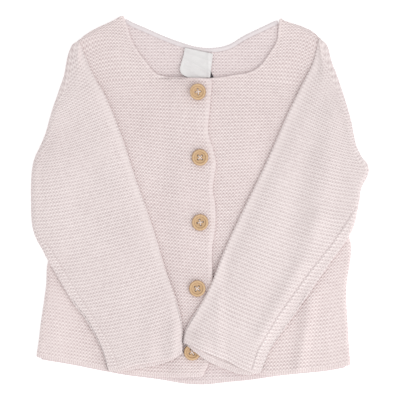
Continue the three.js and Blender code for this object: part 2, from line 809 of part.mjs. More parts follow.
// A tube of cloth pressed flat and open at both ends
function sleeve({ name, table, armhole, rest, folds }) {
  const frames = sleeveFrames(table, armhole, rest, folds);
  const ring = sleeveRing(table.seamInset);
  const around = ring.length;
  const stride = 2 * around;
  const triangles = [];
  const quad = (a, b, c, d) => {
    if (table.side < 0) triangles.push([a, b, c], [a, c, d]);
    else triangles.push([a, c, b], [a, d, c]);
  };
  for (let k = 0; k < around; k++) {
    const n = (k + 1) % around;
    for (let f = 0; f + 1 < frames.length; f++) {
      const [a, b] = [f * stride, (f + 1) * stride];
      quad(a + k, b + k, b + n, a + n);
      quad(a + around + k, a + around + n, b + around + n, b + around + k);
    }
    const last = (frames.length - 1) * stride;
    quad(k, n, around + n, around + k);
    quad(last + k, last + around + k, last + around + n, last + n);
  }
  return meshOf(name, sleevePoints(frames, ring, table.seamInset), triangles, COLOUR.knit, 0.95);
}

// Narrow edging, an eight-sided section carried along a neck edge
function neckband(name, rows, mid) {
  const line = through(moved(rows, -BAND_WIDTH / 2));
  const points = [];
  for (const share of shares(BAND_STEPS)) {
    const spot = line(share);
    const run = line(share + BAND_RUN_STEP).sub(line(share - BAND_RUN_STEP)).normalize();
    const lift = mid(spot.x, spot.y);
    for (let k = 0; k < BAND_SIDES; k++) {
      const turn = 2 * Math.PI * (k + 0.5) / BAND_SIDES;
      const reach = Math.cos(turn) * BAND_WIDTH / 2 / Math.cos(Math.PI / BAND_SIDES);
      const high = Math.sin(turn) * BAND_THICK / 2 / Math.cos(Math.PI / BAND_SIDES);
      points.push([spot.x - run.y * reach, spot.y + run.x * reach, lift + high]);
    }
  }
  const triangles = [];
  for (let i = 0; i < BAND_STEPS; i++) {
    for (let k = 0; k < BAND_SIDES; k++) {
      const n = (k + 1) % BAND_SIDES;
      const [a, b] = [i * BAND_SIDES, (i + 1) * BAND_SIDES];
      triangles.push([a + k, a + n, b + n], [a + k, b + n, b + k]);
    }
  }
  const last = BAND_STEPS * BAND_SIDES;
  for (let k = 1; k + 1 < BAND_SIDES; k++) {
    triangles.push([0, k + 1, k], [last, last + k, last + k + 1]);
  }
  return meshOf(name, points, triangles, COLOUR.edging, 0.9);
}

function tag(name, corners, mid, thick, colour) {
  const edge = (a, b) => through([a, { x: mix(a.x, b.x, 0.5), y: mix(a.y, b.y, 0.5) }, b]);
  return cloth({
    name,
    place: patch(
      edge(corners.bottomLeft, corners.bottomRight),
      edge(corners.topLeft, corners.topRight),
      edge(corners.bottomLeft, corners.topLeft),
      edge(corners.bottomRight, corners.topRight),
    ),
    mid,
    across: shares(TAG_ACROSS),
    along: shares(TAG_ALONG),
    thick,
    rim: thick * TAG_RIM,
    colour,
    roughness: 0.8,
  });
}

// A crease runs down across the label, and its lower left corner curls
function labelMid(x, y) {
  return CLOTH + AIR + TAB_THICK + AIR + LABEL_THICK / 2 + foldsAt(LABEL_FOLDS, x, y);
}

function solidOf(wasm, geometry) {
  geometry.deleteAttribute('normal');
  geometry.deleteAttribute('uv');
  const merged = mergeVertices(geometry);
  const corners = Array.from(merged.index.array);
  const triangles = [];
  for (let i = 0; i < corners.length; i += 3) {
    const [a, b, c] = corners.slice(i, i + 3);
    if (a !== b && b !== c && c !== a) triangles.push(a, b, c);
  }
  return new wasm.Manifold(new wasm.Mesh({
    numProp: 3,
    vertProperties: new Float32Array(merged.getAttribute('position').array),
    triVerts: new Uint32Array(triangles),
  }));
}

function button(wasm, name, row) {
  const outline = BUTTON_OUTLINE.map(({ r, h }) => new THREE.Vector2(r, h));
  const disc = new THREE.LatheGeometry(outline, BUTTON_SEGMENTS).rotateX(Math.PI / 2);
  let solid = solidOf(wasm, disc);
  for (let k = 0; k < HOLES; k++) {
    const turn = radians(row.turn) + 2 * Math.PI * k / HOLES;
    const reach = HOLE_SPACING / Math.SQRT2;
    const hole = new THREE.CylinderGeometry(HOLE_RADIUS, HOLE_RADIUS, 2 * BUTTON_THICK, HOLE_SEGMENTS)
      .rotateX(Math.PI / 2)
      .translate(reach * Math.cos(turn), reach * Math.sin(turn), 0);
    solid = solid.subtract(solidOf(wasm, hole));
  }
  const { vertProperties, triVerts } = solid.getMesh();
  const geometry = new THREE.BufferGeometry();
  geometry.setAttribute('position', new THREE.Float32BufferAttribute(vertProperties, 3));
  geometry.setIndex(Array.from(triVerts));
  const material = new THREE.MeshStandardMaterial({ color: COLOUR.button, roughness: 0.5, metalness: 0 });
  const mesh = new THREE.Mesh(geometry, material);
  mesh.name = name;
  mesh.rotation.y = radians(row.tip);
  mesh.position.set(row.x, row.y, FRONT_TOP + placketLift(row.x) + AIR + BUTTON_HALF + row.lift);
  return mesh;
}

const wasm = await Module();
wasm.setup();

const cardigan = new THREE.Group();
cardigan.name = 'cardigan';
cardigan.add(
  back(),
  frontRight(),
  frontLeft(),
  sleeve({
    name: 'sleeve_right',
    table: SLEEVE_RIGHT,
    armhole: ARMHOLE_RIGHT,
    rest: restRight,
    folds: FOLDS_SLEEVE_RIGHT,
  }),
  sleeve({
    name: 'sleeve_left',
    table: SLEEVE_LEFT,
    armhole: ARMHOLE_LEFT,
    rest: restLeft,
    folds: FOLDS_SLEEVE_LEFT,
  }),
  neckband('neckband_right', NECK_RIGHT, frontRightMid),
  neckband('neckband_left', NECK_LEFT, frontLeftMid),
  neckband('neckband_back', NECK_BACK, () => BACK_MID),
  tag('label', LABEL, labelMid, LABEL_THICK, COLOUR.label),
  tag('size_tab', TAB, () => CLOTH + AIR + TAB_THICK / 2, TAB_THICK, COLOUR.tab),
);
BUTTONS.forEach((row, i) => cardigan.add(button(wasm, `button_${i + 1}`, row)));

// The middle of the underside is the origin
const box = new THREE.Box3().setFromObject(cardigan);
const middle = box.getCenter(new THREE.Vector3());
cardigan.position.set(-middle.x, -middle.y, -box.min.z);

export default cardigan;
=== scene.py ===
# %% [markdown]
# # A knitted baby cardigan, laid flat
# The cardigan lies face up on a table. Its right front overlaps the left one and closes with five
# wooden buttons, and both sleeves are folded over the fronts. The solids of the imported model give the
# places and sizes. This lesson makes the cloth, the knitting, the buttons and the light.

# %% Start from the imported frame
from math import cos, pi, radians, sin

import bmesh
import bpy
import numpy as np
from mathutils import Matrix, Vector


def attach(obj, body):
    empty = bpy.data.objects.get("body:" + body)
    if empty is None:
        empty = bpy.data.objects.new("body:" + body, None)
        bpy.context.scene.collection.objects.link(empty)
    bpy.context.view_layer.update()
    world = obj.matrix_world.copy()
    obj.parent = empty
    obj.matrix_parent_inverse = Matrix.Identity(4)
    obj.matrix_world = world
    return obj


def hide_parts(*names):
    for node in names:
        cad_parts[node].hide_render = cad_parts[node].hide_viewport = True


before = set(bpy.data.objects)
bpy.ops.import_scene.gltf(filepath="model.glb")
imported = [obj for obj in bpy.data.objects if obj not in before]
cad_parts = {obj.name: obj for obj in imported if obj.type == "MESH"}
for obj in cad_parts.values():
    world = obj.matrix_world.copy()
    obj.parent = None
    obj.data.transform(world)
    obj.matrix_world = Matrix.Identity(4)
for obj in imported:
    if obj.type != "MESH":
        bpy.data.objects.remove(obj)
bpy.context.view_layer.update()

print("packed nodes:", len(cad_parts))

# %% [markdown]
# ## Camera
# The garment was photographed from straight above. A long lens from far away keeps the raised sleeves
# from spreading outwards. The picture is square and shows 340 mm of the table from side to side.

# %% Camera
def placed(name, data):
    made = bpy.data.objects.new(name, data)
    bpy.context.scene.collection.objects.link(made)
    return made


PICTURE_WIDTH = 0.340
LENS = 200
SENSOR = 36
MIDDLE = np.array([-0.21, -0.19])

camera = placed("Camera", bpy.data.cameras.new("Camera"))
camera.data.lens = LENS
camera.data.sensor_width = SENSOR
camera.location = (-MIDDLE[0] / 1000, -MIDDLE[1] / 1000, PICTURE_WIDTH * LENS / SENSOR)
camera.data.clip_end = 20
bpy.context.scene.camera = camera
print("camera height:", round(camera.location.z, 3), "m")

# %% [markdown]
# ## Light and table
# A large soft lamp low on the right rakes over the folds, so that slopes that face left go dark. The
# sky fills the rest. The table is white and glows a little, because a pale table under studio lamps
# is brighter than wool and keeps only the shadow right under an edge.

# %% Light and table
KEY_SIZE = 1.9
KEY_POWER = 15.0
KEY_PLACE = Vector((1.05, -0.95, 1.2))
SKY_STRENGTH = 0.86
TABLE_GLOW = 0.32
TABLE_SIZE = 6.0
TABLE_DROP = -0.0002

scene = bpy.context.scene
scene.view_settings.view_transform = "Standard"
scene.view_settings.look = "None"

sky = bpy.data.worlds.new("Sky")
scene.world = sky
sky.use_nodes = True
glow = sky.node_tree.nodes["Background"].inputs
glow["Color"].default_value = (1, 1, 1, 1)
glow["Strength"].default_value = SKY_STRENGTH

key = placed("Key", bpy.data.lights.new("Key", "AREA"))
key.data.size = KEY_SIZE
key.data.energy = KEY_POWER
key.location = KEY_PLACE
key.rotation_euler = (-KEY_PLACE).to_track_quat("-Z", "Y").to_euler()

table_mesh = bpy.data.meshes.new("Table")
corner = TABLE_SIZE / 2
table_mesh.from_pydata(
    [(-corner, -corner, 0), (corner, -corner, 0), (corner, corner, 0), (-corner, corner, 0)],
    [],
    [(0, 1, 2, 3)],
)
table = placed("Table", table_mesh)
table.location.z = TABLE_DROP
print("lamp at", tuple(KEY_PLACE), "and a table", TABLE_SIZE, "m wide")

# %% [markdown]
# ## Shader maths as Python
# Materials here are sums of small patterns. A wrapped socket lets an expression such as 1 - mask add
# its own Math node, and one method makes every other node.

# %% A socket that can be used in an expression
class Wire:
    """A socket of a node tree. Sums and products of wires add Math nodes to the tree."""

    def __init__(self, tree, socket=None):
        self.tree = tree
        self.socket = socket

    def node(self, kind, settings=None, values=None, out=0):
        """Adds a node: its settings are set first, then the values or links of its sockets."""
        made = self.tree.nodes.new(kind)
        for name, value in (settings or {}).items():
            setattr(made, name, value)
        for name, value in (values or {}).items():
            if isinstance(value, Wire):
                self.tree.links.new(value.socket, made.inputs[name])
            else:
                made.inputs[name].default_value = value
        return Wire(self.tree, made.outputs[out] if made.outputs else None)

    def math(self, operation, first, second=0.0):
        return self.node("ShaderNodeMath", {"operation": operation}, {0: first, 1: second})

    def __add__(self, other):
        return self.math("ADD", self, other)

    __radd__ = __add__

    def __sub__(self, other):
        return self.math("SUBTRACT", self, other)

    def __rsub__(self, other):
        return self.math("SUBTRACT", other, self)

    def __mul__(self, other):
        return self.math("MULTIPLY", self, other)

    __rmul__ = __mul__

    def cosine(self):
        return self.math("COSINE", self)

    def fraction(self):
        return self.math("FRACT", self)

    def size(self):
        return self.math("ABSOLUTE", self)

    def held(self):
        """The value kept from 0 to 1."""
        return self.node("ShaderNodeClamp", {}, {"Value": self})

    def blend(self, first, second):
        """This mask's blend of two numbers."""
        return self * (second - first) + first

    def tint(self, first, second):
        """This mask's blend of two colours."""
        values = {0: self, 6: first, 7: second}
        return self.node("ShaderNodeMix", {"data_type": "RGBA"}, values, 2)

    def part(self, axis):
        return self.node("ShaderNodeSeparateXYZ", {}, {0: self}, axis)

    def noise(self, scale, detail=2.0, rough=0.5):
        values = {"Vector": self, "Scale": scale, "Detail": detail, "Roughness": rough}
        return self.node("ShaderNodeTexNoise", {}, values, "Fac")

    def bump(self, depth, strength=1.0):
        """A normal from this height, which is depth metres deep from 0 to 1."""
        values = {"Height": self, "Distance": depth, "Strength": strength}
        return self.node("ShaderNodeBump", {}, values, "Normal")


def start_material(name):
    made = bpy.data.materials.new(name)
    made.use_nodes = True
    made.node_tree.nodes.clear()
    return made, Wire(made.node_tree)


def attribute(start, name):
    return start.node("ShaderNodeAttribute", {"attribute_name": name}, {}, "Vector")


def surface(start, values):
    shader = start.node("ShaderNodeBsdfPrincipled", {}, values)
    start.node("ShaderNodeOutputMaterial", {}, {"Surface": shader})


def srgb(red, green, blue):
    """A colour as the eye reads it, from 0 to 255, as the linear light that a shader takes."""
    steps = [value / 255 for value in (red, green, blue)]
    linear = [s / 12.92 if s <= 0.04045 else ((s + 0.055) / 1.055) ** 2.4 for s in steps]
    return (*linear, 1)


# %% Table finish
table_look, start = start_material("White table")
fine = start.node("ShaderNodeTexCoord", {}, {}, "Object").noise(40)
surface(start, {
    "Base Color": fine.tint(srgb(246, 246, 246), srgb(248, 248, 248)),
    "Roughness": 0.8,
    "Emission Color": (1, 1, 1, 1),
    "Emission Strength": TABLE_GLOW,
})
table_mesh.materials.append(table_look)
print("materials:", len(bpy.data.materials))

# %% [markdown]
# ## The knitted wool
# Garter stitch is made of ridges that run across the cloth. Each ridge is a row of small loops that
# hook into the next row, so the dark line between two ridges is a zigzag; in the colour that line is
# painted shade and the crests are a painted highlight. Every cloth piece carries an attribute named knit,
# which counts stitches along a ridge and ridges up the cloth and, in its third part, says how much
# painted shade falls where the cloth turns down. Another, named bands, says where the edge is smooth,
# where the cast on row is, and where a seam runs.

# %% Wool
RIDGE_ZIGZAG = 0.16
STITCH_DEPTH = 0.0005
TICKS_PER_STITCH = 1.45
# Painted shade: these two darken rims and sleeve folds towards a grey where the cloth turns down towards
# the table.
EDGE_SHADE = 0.42
EDGE_SHADE_GREY = srgb(198, 182, 184)
CALM_FROM = 0.09
CALM_RISE = 45
OPEN_LEAST, OPEN_MORE = 0.55, 0.9
FUZZ = 1500
FUZZ_TONE, PATCH_TONE, SPECK_TONE = 0.25, 0.2, 0.3
RELIEF_SHADE_TONE, TONE_DROP = 0.7, 0.05
KNIT_RELIEF, FUZZ_RELIEF = 0.8, 0.35
WOOL_ROUGH, FUZZ_GLOSS = 0.94, 0.12
STITCH_WOBBLE = 0.7
RIDGE_WOBBLE = 0.4
CHAIN_DEPTH, CHAIN_TONE = 0.14, 0.62
TICK_DEPTH, TICK_TONE = 0.3, 0.5
SEWN_BEAD_HIGHLIGHT, SEWN_HIGHLIGHT = 0.22, 0.1
SUNK_SHADE = 0.5


def knit_wool(name, light, dark, contrast, loops_shown, calm=0.0):
    """loops_shown is how strongly the single loops show against the plain ridges, and calm is how much
    of that is lost towards the sides of the garment. The colour runs from dark in the valleys, as painted
    shade, to light on the crests, as a painted highlight."""
    made, start = start_material(name)
    knit, bands = attribute(start, "knit"), attribute(start, "bands")
    place = start.node("ShaderNodeTexCoord", {}, {}, "Object")
    strip, tick, seam = bands.part(0), bands.part(1), bands.part(2)
    sewn, sunk, edge = seam.held(), (seam * -1).held(), knit.part(2)

    along = knit.part(0) + (place.noise(45, 1) - 0.5) * STITCH_WOBBLE
    up = knit.part(1) + (place.noise(120, 1) - 0.5) * RIDGE_WOBBLE
    ridge_ends = (up * (2 * pi)).cosine()
    zigzag = (along.fraction() - 0.5).size() * 2
    ridge = ((up + (zigzag - 0.5) * RIDGE_ZIGZAG) * (2 * pi)).cosine()
    loops = (along * (2 * pi)).cosine() * loops_shown + 1
    outer = ((place.part(0).size() - CALM_FROM) * CALM_RISE).held()
    open_knit = (place.noise(60, 1) * OPEN_MORE + OPEN_LEAST) * (outer * -calm + 1)
    garter = (ridge * loops * open_knit * (0.5 * contrast / (1 + loops_shown)) + 0.5).held()

    chain = ridge_ends * CHAIN_DEPTH + CHAIN_TONE
    ticks = (along * (2 * pi * TICKS_PER_STITCH)).cosine() * TICK_DEPTH + TICK_TONE
    height = tick.blend(strip.blend(garter, chain), ticks)

    fuzz = place.noise(FUZZ, 3, 0.7)
    uneven = fuzz * FUZZ_TONE + place.noise(22, 2) * PATCH_TONE + (place.noise(380, 1) - 0.5) * SPECK_TONE
    # Painted highlight on the raised seam and its beads, and painted shade in the groove beside it; the
    # mesh also raises the seam and sinks the groove.
    seams = sewn * (ridge_ends * SEWN_BEAD_HIGHLIGHT + SEWN_HIGHLIGHT) - sunk * SUNK_SHADE
    # Painted shade and highlight: the knit's height sets its colour, darker in the valleys between ridges
    # and loops, lighter on the crests. The noise terms are the yarn's own uneven tone.
    shade = (height * RELIEF_SHADE_TONE + uneven + seams - TONE_DROP).held()
    relief = height * KNIT_RELIEF + fuzz * FUZZ_RELIEF
    surface(start, {
        # Painted shade on rims and folds, mixed in by the third part of knit.
        "Base Color": (edge * EDGE_SHADE).tint(shade.tint(dark, light), EDGE_SHADE_GREY),
        "Roughness": WOOL_ROUGH - fuzz * FUZZ_GLOSS,
        "Specular IOR Level": 0.25,
        "Sheen Weight": 0.25,
        "Sheen Roughness": 0.6,
        "Sheen Tint": (1, 0.95, 0.94, 1),
        "Normal": relief.bump(STITCH_DEPTH),
    })
    return made


# Columns: name, light, dark, contrast, loops shown, calm
front_wool, right_wool, left_wool, back_wool, edge_wool = (
    knit_wool(name, srgb(*light), srgb(*dark), *rest) for name, light, dark, *rest in (
        ("Garter knit of the fronts", (254, 243, 241), (196, 174, 174), 1.45, 3.3, 0.3),
        ("Garter knit of the right sleeve", (252, 242, 240), (196, 178, 178), 1.2, 2.2),
        ("Garter knit of the left sleeve", (249, 239, 237), (198, 181, 181), 1.1, 1.3),
        ("Garter knit of the back", (252, 241, 240), (198, 178, 179), 1.4, 2.2),
        ("Chain edge of the neck", (240, 232, 233), (206, 196, 198), 1.0, 1.0),
    )
)
print("kinds of wool:", len(bpy.data.materials) - 1)

# %% [markdown]
# ## Lines and heights
# The outline of each piece is a smooth line through a few measured places, in millimetres, as in the
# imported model. Heights are worked out for whole grids at once with numpy.

# %% Helpers for lines and heights
CLOTH = 2.0
AIR = 0.3
HALF = CLOTH / 2
FRONT_MID = CLOTH + AIR + HALF
FRONT_TOP = FRONT_MID + HALF
PLACKET_LIFT = CLOTH + AIR
LINE_PARTS = 40


def ease(start_at, end_at, value):
    share = np.clip((np.asarray(value, float) - start_at) / (end_at - start_at), 0, 1)
    return share * share * (3 - 2 * share)


def mixed(first, second, share):
    return first + (second - first) * share


def looked_up(at, levels, facts):
    """Rows of facts, each known at its own level, read at other levels."""
    order = np.argsort(levels, kind="stable")
    return np.stack([np.interp(at, levels[order], fact[order]) for fact in facts.T], axis=-1)


def through(rows):
    """The smooth line through the rows, as a function of the share of its length."""
    spots = np.array(rows, float)
    spots = np.vstack([2 * spots[0] - spots[1], spots, 2 * spots[-1] - spots[-2]])
    share = np.linspace(0, 1, LINE_PARTS, endpoint=False)[:, None]
    pieces = []
    for p0, p1, p2, p3 in zip(spots, spots[1:], spots[2:], spots[3:]):
        d0, d1, d2 = (max(np.hypot(*(b - a)) ** 0.5, 1e-4) for a, b in ((p0, p1), (p1, p2), (p2, p3)))
        m1 = ((p1 - p0) / d0 - (p2 - p0) / (d0 + d1) + (p2 - p1) / d1) * d1
        m2 = ((p2 - p1) / d1 - (p3 - p1) / (d1 + d2) + (p3 - p2) / d2) * d1
        cube, square = share ** 3, share ** 2
        pieces.append(
            (2 * cube - 3 * square + 1) * p1 + (cube - 2 * square + share) * m1
            + (3 * square - 2 * cube) * p2 + (cube - square) * m2
        )
    line = np.vstack([*pieces, spots[-2:-1]])
    length = np.concatenate([[0], np.cumsum(np.hypot(*np.diff(line, axis=0).T))])

    def at(part):
        here = np.clip(part, 0, 1) * length[-1]
        return np.stack([np.interp(here, length, line[:, k]) for k in (0, 1)], axis=-1)

    return at


def leftward(run):
    """One unit to the left of each step of a line."""
    return np.stack([-run[:, 1], run[:, 0]], axis=1) / np.maximum(np.hypot(*run.T), 1e-9)[:, None]


def moved(rows, by):
    """Rows moved sideways from their own line: positive is to the left of the way they run."""
    rows = np.array(rows, float)
    return rows + by * leftward(np.vstack([rows[1:], rows[-1:]]) - np.vstack([rows[:1], rows[:-1]]))


def distance(rows, x, y):
    """How far each place is from a line of rows."""
    nearest = np.full(np.shape(x), np.inf)
    for (ax, ay), (bx, by) in zip(rows, rows[1:]):
        dx, dy = bx - ax, by - ay
        along = np.clip(((x - ax) * dx + (y - ay) * dy) / max(dx * dx + dy * dy, 1e-9), 0, 1)
        nearest = np.minimum(nearest, np.hypot(x - ax - along * dx, y - ay - along * dy))
    return nearest


def folds_at(folds, x, y):
    """Soft folds added up: each row is the line it follows, how far it spreads and how high it stands."""
    height = np.zeros(np.shape(x))
    for x0, y0, x1, y1, wide, high in folds:
        height = height + high * np.exp(-((distance([(x0, y0), (x1, y1)], x, y) / wide) ** 2))
    return height


def ripple(x, y, size, seed):
    """A gentle unevenness from 1 to minus 1, with waves about size millimetres long."""
    total = 0
    for k in range(5):
        turn = seed + 2.4 * k
        wave = size * (0.7 + 0.22 * k) / (2 * pi)
        total = total + np.sin((x * cos(turn) + y * sin(turn)) / wave + 1.7 * k + seed)
    return total / 3


print("a soft step of a half:", float(ease(0, 1, 0.5)))

# %% [markdown]
# ## Meshes with counted stitches
# A mesh gets its two attributes from the same arrays as its points. Points that fall on each other
# where a sleeve narrows are merged at the end, so that no face is empty.

# %% Meshes
TO_METRES = 0.001
MERGE = 2e-6


def in_scene(points):
    """Points from millimetres on the table to metres in the frame."""
    points = np.array(points, float)
    points[:, :2] -= MIDDLE
    return points * TO_METRES


def add_layer(mesh, name, values):
    layer = mesh.attributes.new(name, "FLOAT_VECTOR", "POINT")
    layer.data.foreach_set("vector", np.asarray(values, np.float32).ravel())


def make_piece(name, points, faces, material, **layers):
    mesh = bpy.data.meshes.new(name)
    mesh.from_pydata(in_scene(points.reshape(-1, 3)).tolist(), [], [tuple(face) for face in faces])
    for label, values in layers.items():
        add_layer(mesh, label, values)
    shape = bmesh.new()
    shape.from_mesh(mesh)
    bmesh.ops.remove_doubles(shape, verts=shape.verts, dist=MERGE)
    bmesh.ops.recalc_face_normals(shape, faces=shape.faces)
    shape.to_mesh(mesh)
    shape.free()
    mesh.shade_smooth()
    mesh.materials.append(material)
    piece = placed(name, mesh)
    print(name, "has", sum(len(face.vertices) - 2 for face in mesh.polygons), "triangles")
    return piece


def settle(piece, slot, *nodes):
    """The piece rides on the garment and stands for its solids, which are hidden. The slot is not used.
    """
    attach(piece, "root")
    for node in nodes:
        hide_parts(node)


def numbered(shape, first=0):
    """Numbers of the points of a grid, row by row."""
    return first + np.arange(shape[0] * shape[1]).reshape(shape[:2])


def quads(index, over=None):
    """Quads between neighbours in a grid of numbers; over is the grid one column further on."""
    here, over = (index[:, :-1], index[:, 1:]) if over is None else (index, over)
    return np.stack([here[:-1], over[:-1], over[1:], here[1:]], axis=-1).reshape(-1, 4).tolist()


def tube(index):
    """Quads round a tube whose rings are the rows of a grid of numbers."""
    return quads(index, np.roll(index, -1, axis=1))


def rim_of(grid):
    """What lies along the outside of a grid, in turn, counter-clockwise."""
    return np.concatenate([grid[0, :-1], grid[:-1, -1], grid[-1, :0:-1], grid[:0:-1, 0]])


def zipped(first, first_share, second, second_share):
    """Triangles between two closed loops of points, matched by their shares of the way round."""
    faces = []
    i = j = 0
    n, m = len(first), len(second)
    while i < n or j < m:
        next_i = first_share[i + 1] if i + 1 < n else 1.0
        next_j = second_share[j + 1] if j + 1 < m else 1.0
        if j >= m or (i < n and next_i <= next_j):
            faces.append((first[i % n], second[j % m], first[(i + 1) % n]))
            i += 1
        else:
            faces.append((first[i % n], second[j % m], second[(j + 1) % m]))
            j += 1
    return faces


print("quads in a 3 by 4 grid:", len(quads(numbered((3, 4)))))

# %% [markdown]
# ## A wall of knitted cloth
# Cloth is two skins and a rounded rim. The skin that shows is fine enough to hold the ridges as real
# relief. The hidden skin is coarse. The rim is a half round of five rings, a little scalloped by the
# ends of the ridges.

# %% Cloth walls
RIDGE_PROUD = 0.05
RIDGE_DEPTH = 0.16
DENSE_STEP = 0.9
RIM_TURNS = (62, 30, 0, -30, -62)
RIM_SCALLOP = 0.08


def ridge_height(ridges):
    """Relief of garter ridges over the plain face, in millimetres."""
    return RIDGE_PROUD - RIDGE_DEPTH * (0.5 - 0.5 * np.cos(2 * pi * ridges)) ** 0.8


def skin(place, mid, knit, bands, shares, side, thick, relief):
    """One skin of the cloth as a grid of points, counts and masks. Ridges stand up only where the rows
    are close enough to follow them, and not on smooth bands."""
    across, along = shares
    spots = place(across, along)
    x, y = spots[..., 0], spots[..., 1]
    counted, mask = (np.dstack([*part, np.zeros_like(x)]) for part in (knit(x, y, along), bands(x, y)))
    height = mid(x, y) + side * thick / 2
    if relief:
        dense = np.gradient(along)[:, None] * np.hypot(*(spots[-1, 0] - spots[0, 0])) < DENSE_STEP
        smooth = np.clip(mask[..., 0] + mask[..., 1], 0, 1)
        height += side * dense * ridge_height(counted[..., 1]) * (1 - smooth)
    return np.dstack([spots, height]), counted, mask


def cloth(name, place, mid, knit, bands, fine, coarse, material, up=1, rim=1.0, relief=True, thick=CLOTH):
    """place maps shares to x and y; mid is the height of the cloth's middle; knit counts stitches and
    ridges; bands gives the strip and tick masks; fine and coarse are the shares across and along of the
    two skins; up is 1 where the fine skin is the upper one."""
    skins = [skin(place, mid, knit, bands, fine, up, thick, relief),
             skin(place, mid, knit, bands, coarse, -up, thick, relief)]
    points, knits, masks = ([part.reshape(-1, 3) for part in parts] for parts in zip(*skins))
    faces, rims, edge_shares = [], [], []
    for (grid, _, _), (across, along), side in zip(skins, (fine, coarse), (up, -up)):
        index = numbered(grid.shape, len(points[0]) if rims else 0)
        new = quads(index)
        faces += new if side > 0 else [face[::-1] for face in new]
        rims.append(rim_of(index))
        edge_shares.append(np.concatenate([
            across[:-1] / 4, 0.25 + along[:-1] / 4, 0.75 - across[:0:-1] / 4, 1 - along[:0:-1] / 4,
        ]))
    spots, counts, mask = (rim_of(part) for part in skins[0])
    spots = spots[:, :2]
    outward = -leftward(np.roll(spots, -2, axis=0) - np.roll(spots, 2, axis=0))
    ring, far = rims
    reach = rim * (1 + RIM_SCALLOP * np.cos(2 * pi * counts[:, 1]))
    for turn in np.radians(RIM_TURNS):
        counted = counts.copy()
        # Painted shade on the rim, in knit's third part: full from the outermost ring round to the coarse
        # skin, less on the two rings that curve onto the fine skin.
        counted[:, 2] = min(1.0, 1.25 * cos(turn) ** 2) if turn > 0 else 1.0
        out = spots + outward * (reach * cos(turn))[:, None]
        new = sum(len(part) for part in points) + np.arange(len(ring))
        points.append(np.column_stack([out, mid(*out.T) + up * thick / 2 * sin(turn)]))
        knits.append(counted)
        masks.append(mask)
        faces += np.stack([ring, new, np.roll(new, -1), np.roll(ring, -1)], axis=-1).tolist()
        ring = new
    faces += zipped(ring, edge_shares[0], far, edge_shares[1])
    return make_piece(
        name, np.vstack(points), faces, material, knit=np.vstack(knits), bands=np.vstack(masks),
    )


print("ridge relief:", round(float(ridge_height(0)), 2), "to", round(float(ridge_height(0.5)), 2), "mm")

# %% [markdown]
# ## The two fronts
# Each front is knitted from the hem upwards, so its ridges run level from the side to the opening and
# bend down with the hem. A front is built row by row: a row starts on one edge and ends on the other
# at the same height. Five rows of points follow every ridge.

# %% Outline of the fronts
RIDGE = 2.80
STITCH = 2.75
ROWS_PER_RIDGE = 5
COLUMN = 0.98

SHOULDER_RIGHT = [(-103.3, 135.5), (-94.9, 142.1), (-84.5, 147.6), (-73.4, 152.6), (-65.0, 156.1)]
SHOULDER_LEFT = [(67.3, 154.0), (70.9, 152.5), (86.2, 147.6), (96.4, 142.5), (101.8, 137.4)]
ARMHOLE_RIGHT = [
    (-124.1, 2.5), (-113.9, 34.0), (-105.4, 68.0), (-99.5, 102.0), (-98.6, 122.4), (-103.3, 135.5),
]
ARMHOLE_LEFT = [
    (123.2, 4.2), (113.0, 34.0), (104.5, 68.0), (99.5, 102.0), (98.9, 122.4), (101.8, 137.4),
]
SIDE_RIGHT = [
    (-139.1, -133.4), (-137.0, -119.8), (-135.5, -107.1), (-132.3, -85.0), (-130.6, -71.4),
    (-129.9, -56.5), (-126.8, -44.0), (-125.0, -25.5), (-124.1, 2.5),
]
SIDE_LEFT = [
    (127.9, -140.2), (126.2, -119.8), (125.3, -102.0), (124.4, -86.7), (124.5, -72.2), (126.0, -61.2),
    (127.8, -49.3), (128.2, -38.0), (124.8, -25.5), (123.2, -10.0), (123.2, 4.2),
]
HEM_FRONT_RIGHT = [
    (-139.1, -133.4), (-127.5, -135.2), (-107.1, -139.2), (-86.7, -143.1), (-66.3, -146.8),
    (-45.9, -149.4), (-30.0, -150.3), (-15.0, -150.4), (2.2, -149.9),
]
HEM_FRONT_LEFT = [
    (-11.9, -139.0), (10.2, -141.4), (27.5, -144.7), (48.4, -147.9), (62.0, -148.9), (86.7, -146.2),
    (107.1, -144.2), (127.9, -140.2),
]
OPENING_RIGHT = [
    (2.2, -149.9), (7.4, -138.8), (10.0, -126.0), (10.8, -105.0), (11.0, -72.0), (10.5, -41.6),
    (13.0, -22.9), (13.0, -4.2), (11.0, 10.0), (13.6, 31.5), (11.0, 43.4), (7.0, 58.0), (8.7, 79.9),
    (9.3, 103.0),
]
OPENING_LEFT = [(-11.9, -139.0), (-11.5, -60.0), (-11.0, 20.0), (-11.9, 102.8)]
NECK_RIGHT = [
    (-64.8, 156.3), (-61.4, 147.0), (-58.8, 138.2), (-52.9, 126.8), (-44.2, 115.4), (-36.5, 107.3),
    (-28.0, 104.8), (-9.5, 103.9), (9.3, 103.0),
]
NECK_LEFT = [
    (-11.9, 102.8), (10.2, 103.7), (28.7, 106.2), (44.3, 109.5), (52.1, 115.3), (59.2, 125.1),
    (65.2, 135.5), (66.2, 144.5), (67.4, 153.7),
]
FOLDS_FRONT_RIGHT = [(-36, 70, -18, 10, 14, 0.9), (-120, -78, -124, -126, 9, 0.8)]
FOLDS_FRONT_LEFT = [(94, -82, 84, -142, 5.5, 2.9), (40, 70, 30, 24, 14, 0.9)]

# %% Heights of the fronts
ROLL_DROP = 1.6
ROLL_REACH = 3.6
ROLL_PAST_NECK = 6, 15
ROLL_SIDE_FADE = -45, -22
PLACKET_RISE = -33, -13.5


